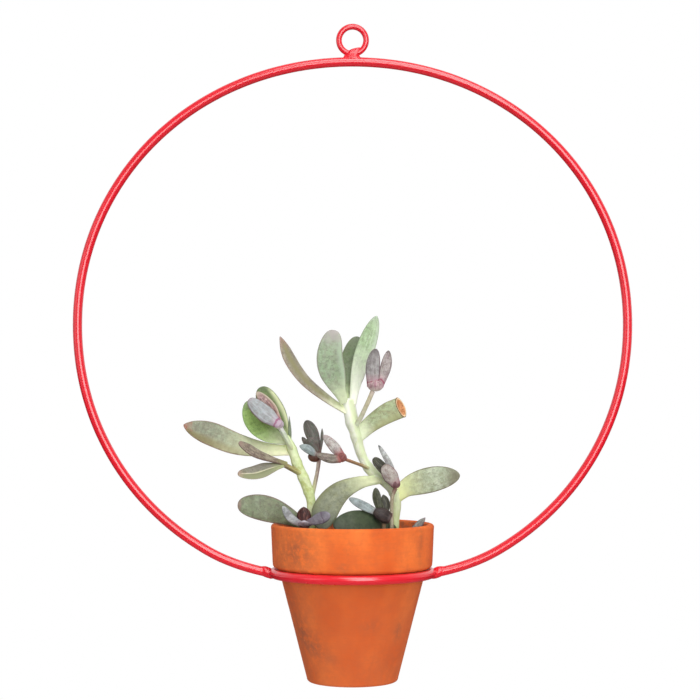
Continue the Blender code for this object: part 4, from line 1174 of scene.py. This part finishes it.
PLUM = Skin((202, 198, 188), (180, 174, 164), (156, 116, 122), (138, 122, 116), (108, 58, 64),
            base_reach=0.34, margin_reach=0.14, streak=(186, 176, 176), stain=(150, 130, 126), crispness=0.3)
DARK_GREEN = Skin((68, 68, 52), (52, 52, 42), (84, 68, 56), (70, 70, 58), (44, 40, 36),
                  streak=(108, 108, 86), streak_share=0.7)
GREY_GREEN = Skin((84, 88, 64), (62, 66, 48), (84, 74, 62), (80, 84, 70), (56, 54, 48),
                  streak=(116, 120, 98), streak_share=0.6)
THIN_PALE = Skin((206, 210, 206), (188, 192, 188), (168, 132, 136), (84, 86, 86), (128, 120, 120),
                 tip_reach=0.22)
BROWN_PLUM = Skin((66, 54, 50), (48, 40, 38), (82, 60, 56), (64, 54, 52), (44, 34, 34),
                  streak=(88, 74, 70))
# The open bud's dark middle petal, whose pale streaks are painted highlights
MAROON = Skin((70, 26, 22), (46, 14, 12), (78, 32, 28), (92, 56, 50), (50, 16, 16),
              streak=(150, 100, 88), streak_share=0.4)
GREY_BLUE = Skin((178, 182, 182), (160, 164, 164), (152, 142, 148), (184, 186, 186), (114, 108, 112))
RINGED = Skin((146, 140, 148), (122, 118, 128), (112, 96, 104), (138, 134, 144), (84, 76, 88),
              band=(92, 78, 92), band_place=0.6, crispness=0.2)
PALE_LILAC = Skin((196, 192, 202), (176, 172, 184), (152, 118, 130), (200, 198, 206), (132, 122, 136))


@dataclass
class Bud:
    """A flower bud: a cup on its stalk and the petals that stand in it."""

    cup_middle: tuple
    cup_radii: tuple
    cup_skin: Skin
    petals: tuple


def cup_skin(foot, petal_side, margin):
    return Skin(petal_side, petal_side, foot, petal_side, margin, base_reach=0.5, streak=foot)


def petal(skin, start, middle, end, width, thickness, **shape):
    """A short blade on a spine of three points."""
    return Blade((start, middle, end), width, thickness, skin, groove=0.05, wave=0.12, **shape)


BUDS = {
    "left_bud": Bud(
        (-49.6, -6.7, 67.6), (3.2, 2.8, 3.0), cup_skin((208, 210, 200), (196, 186, 196), (176, 130, 154)), (
        petal(LILAC, (-49.5, -7.5, 67.5), (-60, -8.5, 75.6), (-70.3, -7.5, 84.6), 12, 5.2,
              facing=(0.2, -1, 0.1), base=0.55, widest=0.45, tip=0.42),
        petal(LILAC_REAR, (-49.3, -5.6, 69), (-56.4, -4.2, 80), (-65.2, -3.2, 89.6), 8.5, 3.2,
              facing=(0.3, -1, 0.2), base=0.5, widest=0.45),
    )),
    "dark_bud": Bud(
        (-25.8, 5, 45.4), (4.8, 3.6, 3.7), cup_skin((124, 72, 58), (98, 70, 62), (76, 48, 44)), (
        petal(DARK, (-23.8, 6.5, 47), (-27.2, 9.4, 59.5), (-31.9, 11, 70.2), 9.4, 3.4,
              facing=(0.1, -1, 0), base=0.6),
        petal(DARK, (-26.4, 6, 47), (-31.3, 8.4, 54), (-34.6, 10, 58.8), 3.6, 2.0, base=0.6, tip=0.6),
        petal(DARK, (-22.4, 6, 47.6), (-21, 7.4, 57), (-20.8, 8, 64.8), 2.2, 1.8, base=0.8, tip=0.8),
        petal(DARK, (-23.8, 5, 47), (-27, 4, 53.2), (-31, 3.4, 57.8), 7.6, 3.2, base=0.6),
        petal(BLUE_PALE, (-24.4, 3, 46), (-30, 1, 50.6), (-36.2, -0.6, 53.1), 6, 2.6,
              facing=(0, -1, 0.2), base=0.6, widest=0.5, tip=0.75),
    )),
    "red_bud": Bud(
        (-7.3, -10.4, 45.3), (3.4, 3.3, 3.2), cup_skin((172, 108, 98), (156, 96, 94), (112, 60, 60)), (
        petal(STRIPED, (-7.3, -9.6, 46.3), (-13, -10.4, 53.2), (-19.6, -10.6, 60.4), 7.2, 3.4,
              facing=(0.2, -1, 0), base=0.75, widest=0.4),
        petal(PATTERNED, (-8, -11.6, 44.2), (-16, -13.6, 45), (-25, -14.4, 47.8), 6.4, 3.2,
              facing=(0, -1, 0.2), base=0.8, widest=0.4, tip=0.55),
    )),
    "twin_bud": Bud(
        (15.3, -14, 94.4), (5.5, 4.2, 4.4), cup_skin((204, 198, 184), (194, 160, 166), (146, 92, 106)), (
        petal(MAUVE, (13.8, -14.6, 93), (13.7, -16.6, 106.5), (15.6, -18, 118.6), 9.8, 4.4,
              facing=(-0.2, -1, 0), base=0.86, widest=0.45),
        petal(MAUVE_PALE, (17.8, -13.4, 93.6), (22.3, -12.6, 106), (24.4, -11, 117.6), 7.8, 3.8,
              facing=(0.3, -1, 0), base=0.82, widest=0.5, tip=0.6),
    )),
    "right_bud": Bud(
        (29, -9, 27.6), (3.4, 3.4, 3.3), cup_skin((142, 100, 96), (144, 108, 114), (96, 56, 60)), (
        petal(PLUM, (29.2, -9.8, 27.4), (25.2, -11.2, 33.6), (20.8, -11, 40.2), 10.2, 4.6,
              facing=(-0.1, -1, 0.1), base=0.7, widest=0.45, tip=0.42),
        petal(THIN_PALE, (29.4, -7.4, 29.5), (24.6, -5.6, 41.5), (17.6, -5.6, 53.6), 4.4, 2.2,
              facing=(0.3, -1, 0), base=0.8, widest=0.45, tip=0.55),
        petal(DARK_GREEN, (27.6, -8, 29), (20.8, -7, 37.6), (14.1, -7.4, 44.9), 7.2, 2.6,
              facing=(0.1, -1, 0.2), base=0.6, tip=0.4),
    )),
    "lower_bud": Bud(
        (22, -15, 4.2), (3.8, 3.5, 3.4), cup_skin((88, 72, 60), (70, 56, 50), (48, 36, 34)), (
        petal(BROWN_PLUM, (25, -16, 4.6), (20.4, -17.6, 7), (14.2, -17.6, 9.6), 9.8, 5.2,
              facing=(0, -1, 0.2), base=0.8, widest=0.4, tip=0.42),
        petal(GREY_GREEN, (19.6, -13.8, 6), (16.8, -12.6, 16), (15.5, -12.2, 25), 6, 2.4,
              facing=(-0.2, -1, 0), base=0.6, tip=0.55),
        petal(DARK_GREEN, (22, -14, 6), (22.4, -12.6, 13.4), (20.6, -12, 20.4), 6.2, 2.4,
              facing=(0.2, -1, 0), base=0.6, tip=0.7),
        petal(BLUE_PALE, (18, -15, 7.6), (8, -16.8, 12.8), (-2.3, -17, 18.2), 6.4, 2.6,
              facing=(0.2, -1, 0.3), base=0.7, widest=0.5),
    )),
    "open_bud": Bud(
        (-32, -27.4, 1.2), (3.8, 3.4, 3.2), cup_skin((110, 84, 76), (92, 60, 54), (66, 38, 36)), (
        petal(MAROON, (-32.2, -26.4, 1.5), (-32.4, -25.6, 8), (-32.6, -25.2, 13), 9.6, 4.2,
              base=0.8, widest=0.4, tip=0.75),
        petal(GREY_BLUE, (-34.4, -28, 1.4), (-41.2, -27, 5.8), (-46.6, -25.4, 13.4), 5.8, 2.4,
              facing=(0.1, -1, 0.1), base=0.7, widest=0.5, tip=0.55),
        petal(RINGED, (-29.4, -28.4, 2.4), (-21.6, -29.4, 5.6), (-14.8, -29.4, 8), 8, 3.0,
              facing=(0, -1, 0.2), base=0.6, widest=0.55, tip=0.45),
        petal(PALE_LILAC, (-32, -29, 0.8), (-32, -32.4, 2), (-32, -36, 4.2), 8.4, 2.0,
              facing=(0, 0.2, 1), base=0.7, widest=0.5, tip=0.55),
    )),
}


def bud_cup(bud, seed):
    """The rounded foot of a bud, with faint ribs."""
    middle = grown([bud.cup_middle])[0]
    rings = []
    for share in shares(CUP_STATIONS)[:-1]:
        round_share = math.sin(math.pi * share)
        ring = []
        for angle in turns(CUP_SIDES):
            out = around(round_share, angle, -math.cos(math.pi * share))
            rib = math.sin(CUP_RIBS * angle + seed) * round_share
            swell = 1 + CUP_RELIEF * rib + CUP_RELIEF * grain(out, CUP_GRAIN, seed)
            corner = Vector([a * b for a, b in zip(out, bud.cup_radii)]) * swell * MM
            ring.append((middle + corner, share, math.sin(CUP_RIBS * angle)))
        rings.append(ring)
    top = Vector((0, 0, bud.cup_radii[2])) * MM
    return growth_surface(rings, middle - top, middle + top)


def scar(leaf):
    """The dried end of a cut leaf: a rough skin over its cut, a little proud of it."""
    edge = leaf.corners[-BLADE_SIDES - 2:-2]
    middle = sum(edge, Vector()) / BLADE_SIDES
    way = (edge[BLADE_SIDES // 4] - edge[0]).cross(middle - edge[0]).normalized()
    rings = []
    for share, proud in SCAR_RINGS:
        ring = []
        for corner in edge:
            bump = unevenness(corner, SCAR_LUMPS) if share < 1 else 0.0
            ring.append((middle.lerp(corner, share) + way * (proud + bump) * MM, share))
        rings.append(ring)
    ends = ((middle - way * MM * SCAR_FOOT, 1.0), (middle + way * MM * SCAR_TOP, 0.0))
    return Surface("across").loft(rings, ends)


def make_plant():
    for seed, (name, stem) in enumerate(STEMS.items()):
        skin = plant_skin(name + "_skin", stem.skin)
        piece(name + "_growth", stem.surface(seed), skin, "plant", "stem", name)
    for seed, (name, leaf) in enumerate(LEAVES.items()):
        skin = plant_skin(name + "_skin", leaf.skin)
        surface = leaf.surface(seed)
        piece(name + "_blade", surface, skin, "plant", "leaf", name)
        if leaf.cut:
            piece(name + "_scar", scar(surface), callus(), "plant", "leaf")
    for seed, (name, bud) in enumerate(BUDS.items()):
        skin = plant_skin(name + "_cup_skin", bud.cup_skin)
        piece(name + "_cup", bud_cup(bud, seed), skin, "plant", "petal", name)
        for number, blade in enumerate(bud.petals, 1):
            skin = plant_skin(f"{name}_petal_{number}_skin", blade.skin)
            surface = blade.surface(seed + 7 * number, PETAL_STATIONS, PETAL_SIDES)
            piece(f"{name}_petal_{number}", surface, skin, "plant", "petal")


# Studio


def make_camera():
    camera = bpy.data.cameras.new("camera")
    camera.sensor_width = SENSOR_MM
    camera.lens = LENS_MM
    camera.shift_y = HORIZON_SHIFT
    seat = stand("camera", camera, (CAMERA_ASIDE, -CAMERA_AWAY, HORIZON), (math.pi / 2, 0, 0))
    bpy.context.scene.camera = seat


def make_room():
    """A white room that is brighter behind the planter, and pure white where it's seen."""
    scene = bpy.context.scene
    scene.view_settings.view_transform = "Standard"
    world = bpy.data.worlds.new("white_studio")
    world.use_nodes = True
    n = Nodes(world.node_tree)
    background = world.node_tree.nodes["Background"].inputs
    background["Color"].default_value = (1, 1, 1, 1)
    ways = n.add("SeparateXYZ", {"Vector": n.add("TexCoord").outputs["Generated"]}).outputs
    depth = n.ramp(ways["Y"], -0.3, 0.5, FRONT_WALL, BACK_WALL)
    seen = n.add("LightPath").outputs["Is Camera Ray"]
    n.give(background["Strength"], n.plus(n.times(seen, n.minus(1.0, depth)), depth))
    scene.world = world


def make_lights():
    """Three soft lights in front of the planter."""
    for name, (place, aim, width, power) in LIGHTS.items():
        lamp = bpy.data.lights.new(name, "AREA")
        lamp.shape = "DISK"
        lamp.size = width
        lamp.energy = power
        turn = (Vector(aim) - Vector(place)).to_track_quat("-Z", "Y").to_euler()
        stand(name, lamp, place, turn)


def make_floor():
    """A pale floor that fades into the white of the studio away from the planter."""
    pale = Finish("studio_floor")
    rays = pale.add("LightPath").outputs
    mirrored = rays["Is Glossy Ray"]
    colour = pale.ramp(mirrored, 0.0, 1.0, FLOOR_PALE, FLOOR_MIRRORED)
    pale.give(pale.shader.inputs["Base Color"], colour)
    pale.shader.inputs["Roughness"].default_value = 0.9
    lit = pale.ramp(rays["Is Camera Ray"], 0.0, 1.0, FLOOR_GLOW, 1.0)
    lit = pale.times(lit, pale.ramp(mirrored, 0.0, 1.0, 1.0, FLOOR_MIRRORED))
    glow = pale.add("Emission", {"Strength": lit})
    away = pale.add("VectorMath", {0: pale.place}, operation="LENGTH").outputs["Value"]
    fade = pale.ramp(away, FADE_START, FADE_END)
    blend = pale.add("MixShader", {0: fade, 1: pale.shader.outputs[0], 2: glow.outputs[0]})
    pale.give(pale.tree.nodes["Material Output"].inputs[0], blend.outputs[0])
    half = FLOOR_HALF_WIDTH
    corners = [(-half, -half, 0), (half, -half, 0), (half, half, 0), (-half, half, 0)]
    mesh = bpy.data.meshes.new("floor")
    mesh.from_pydata(corners, [], [(0, 1, 2, 3)])
    mesh.materials.append(pale.made)
    floor = stand("floor", mesh, (0, 0, FLOOR_PLANE))


make_hanger()
make_pot()
make_soil()
make_plant()
make_camera()
make_room()
make_lights()
make_floor()
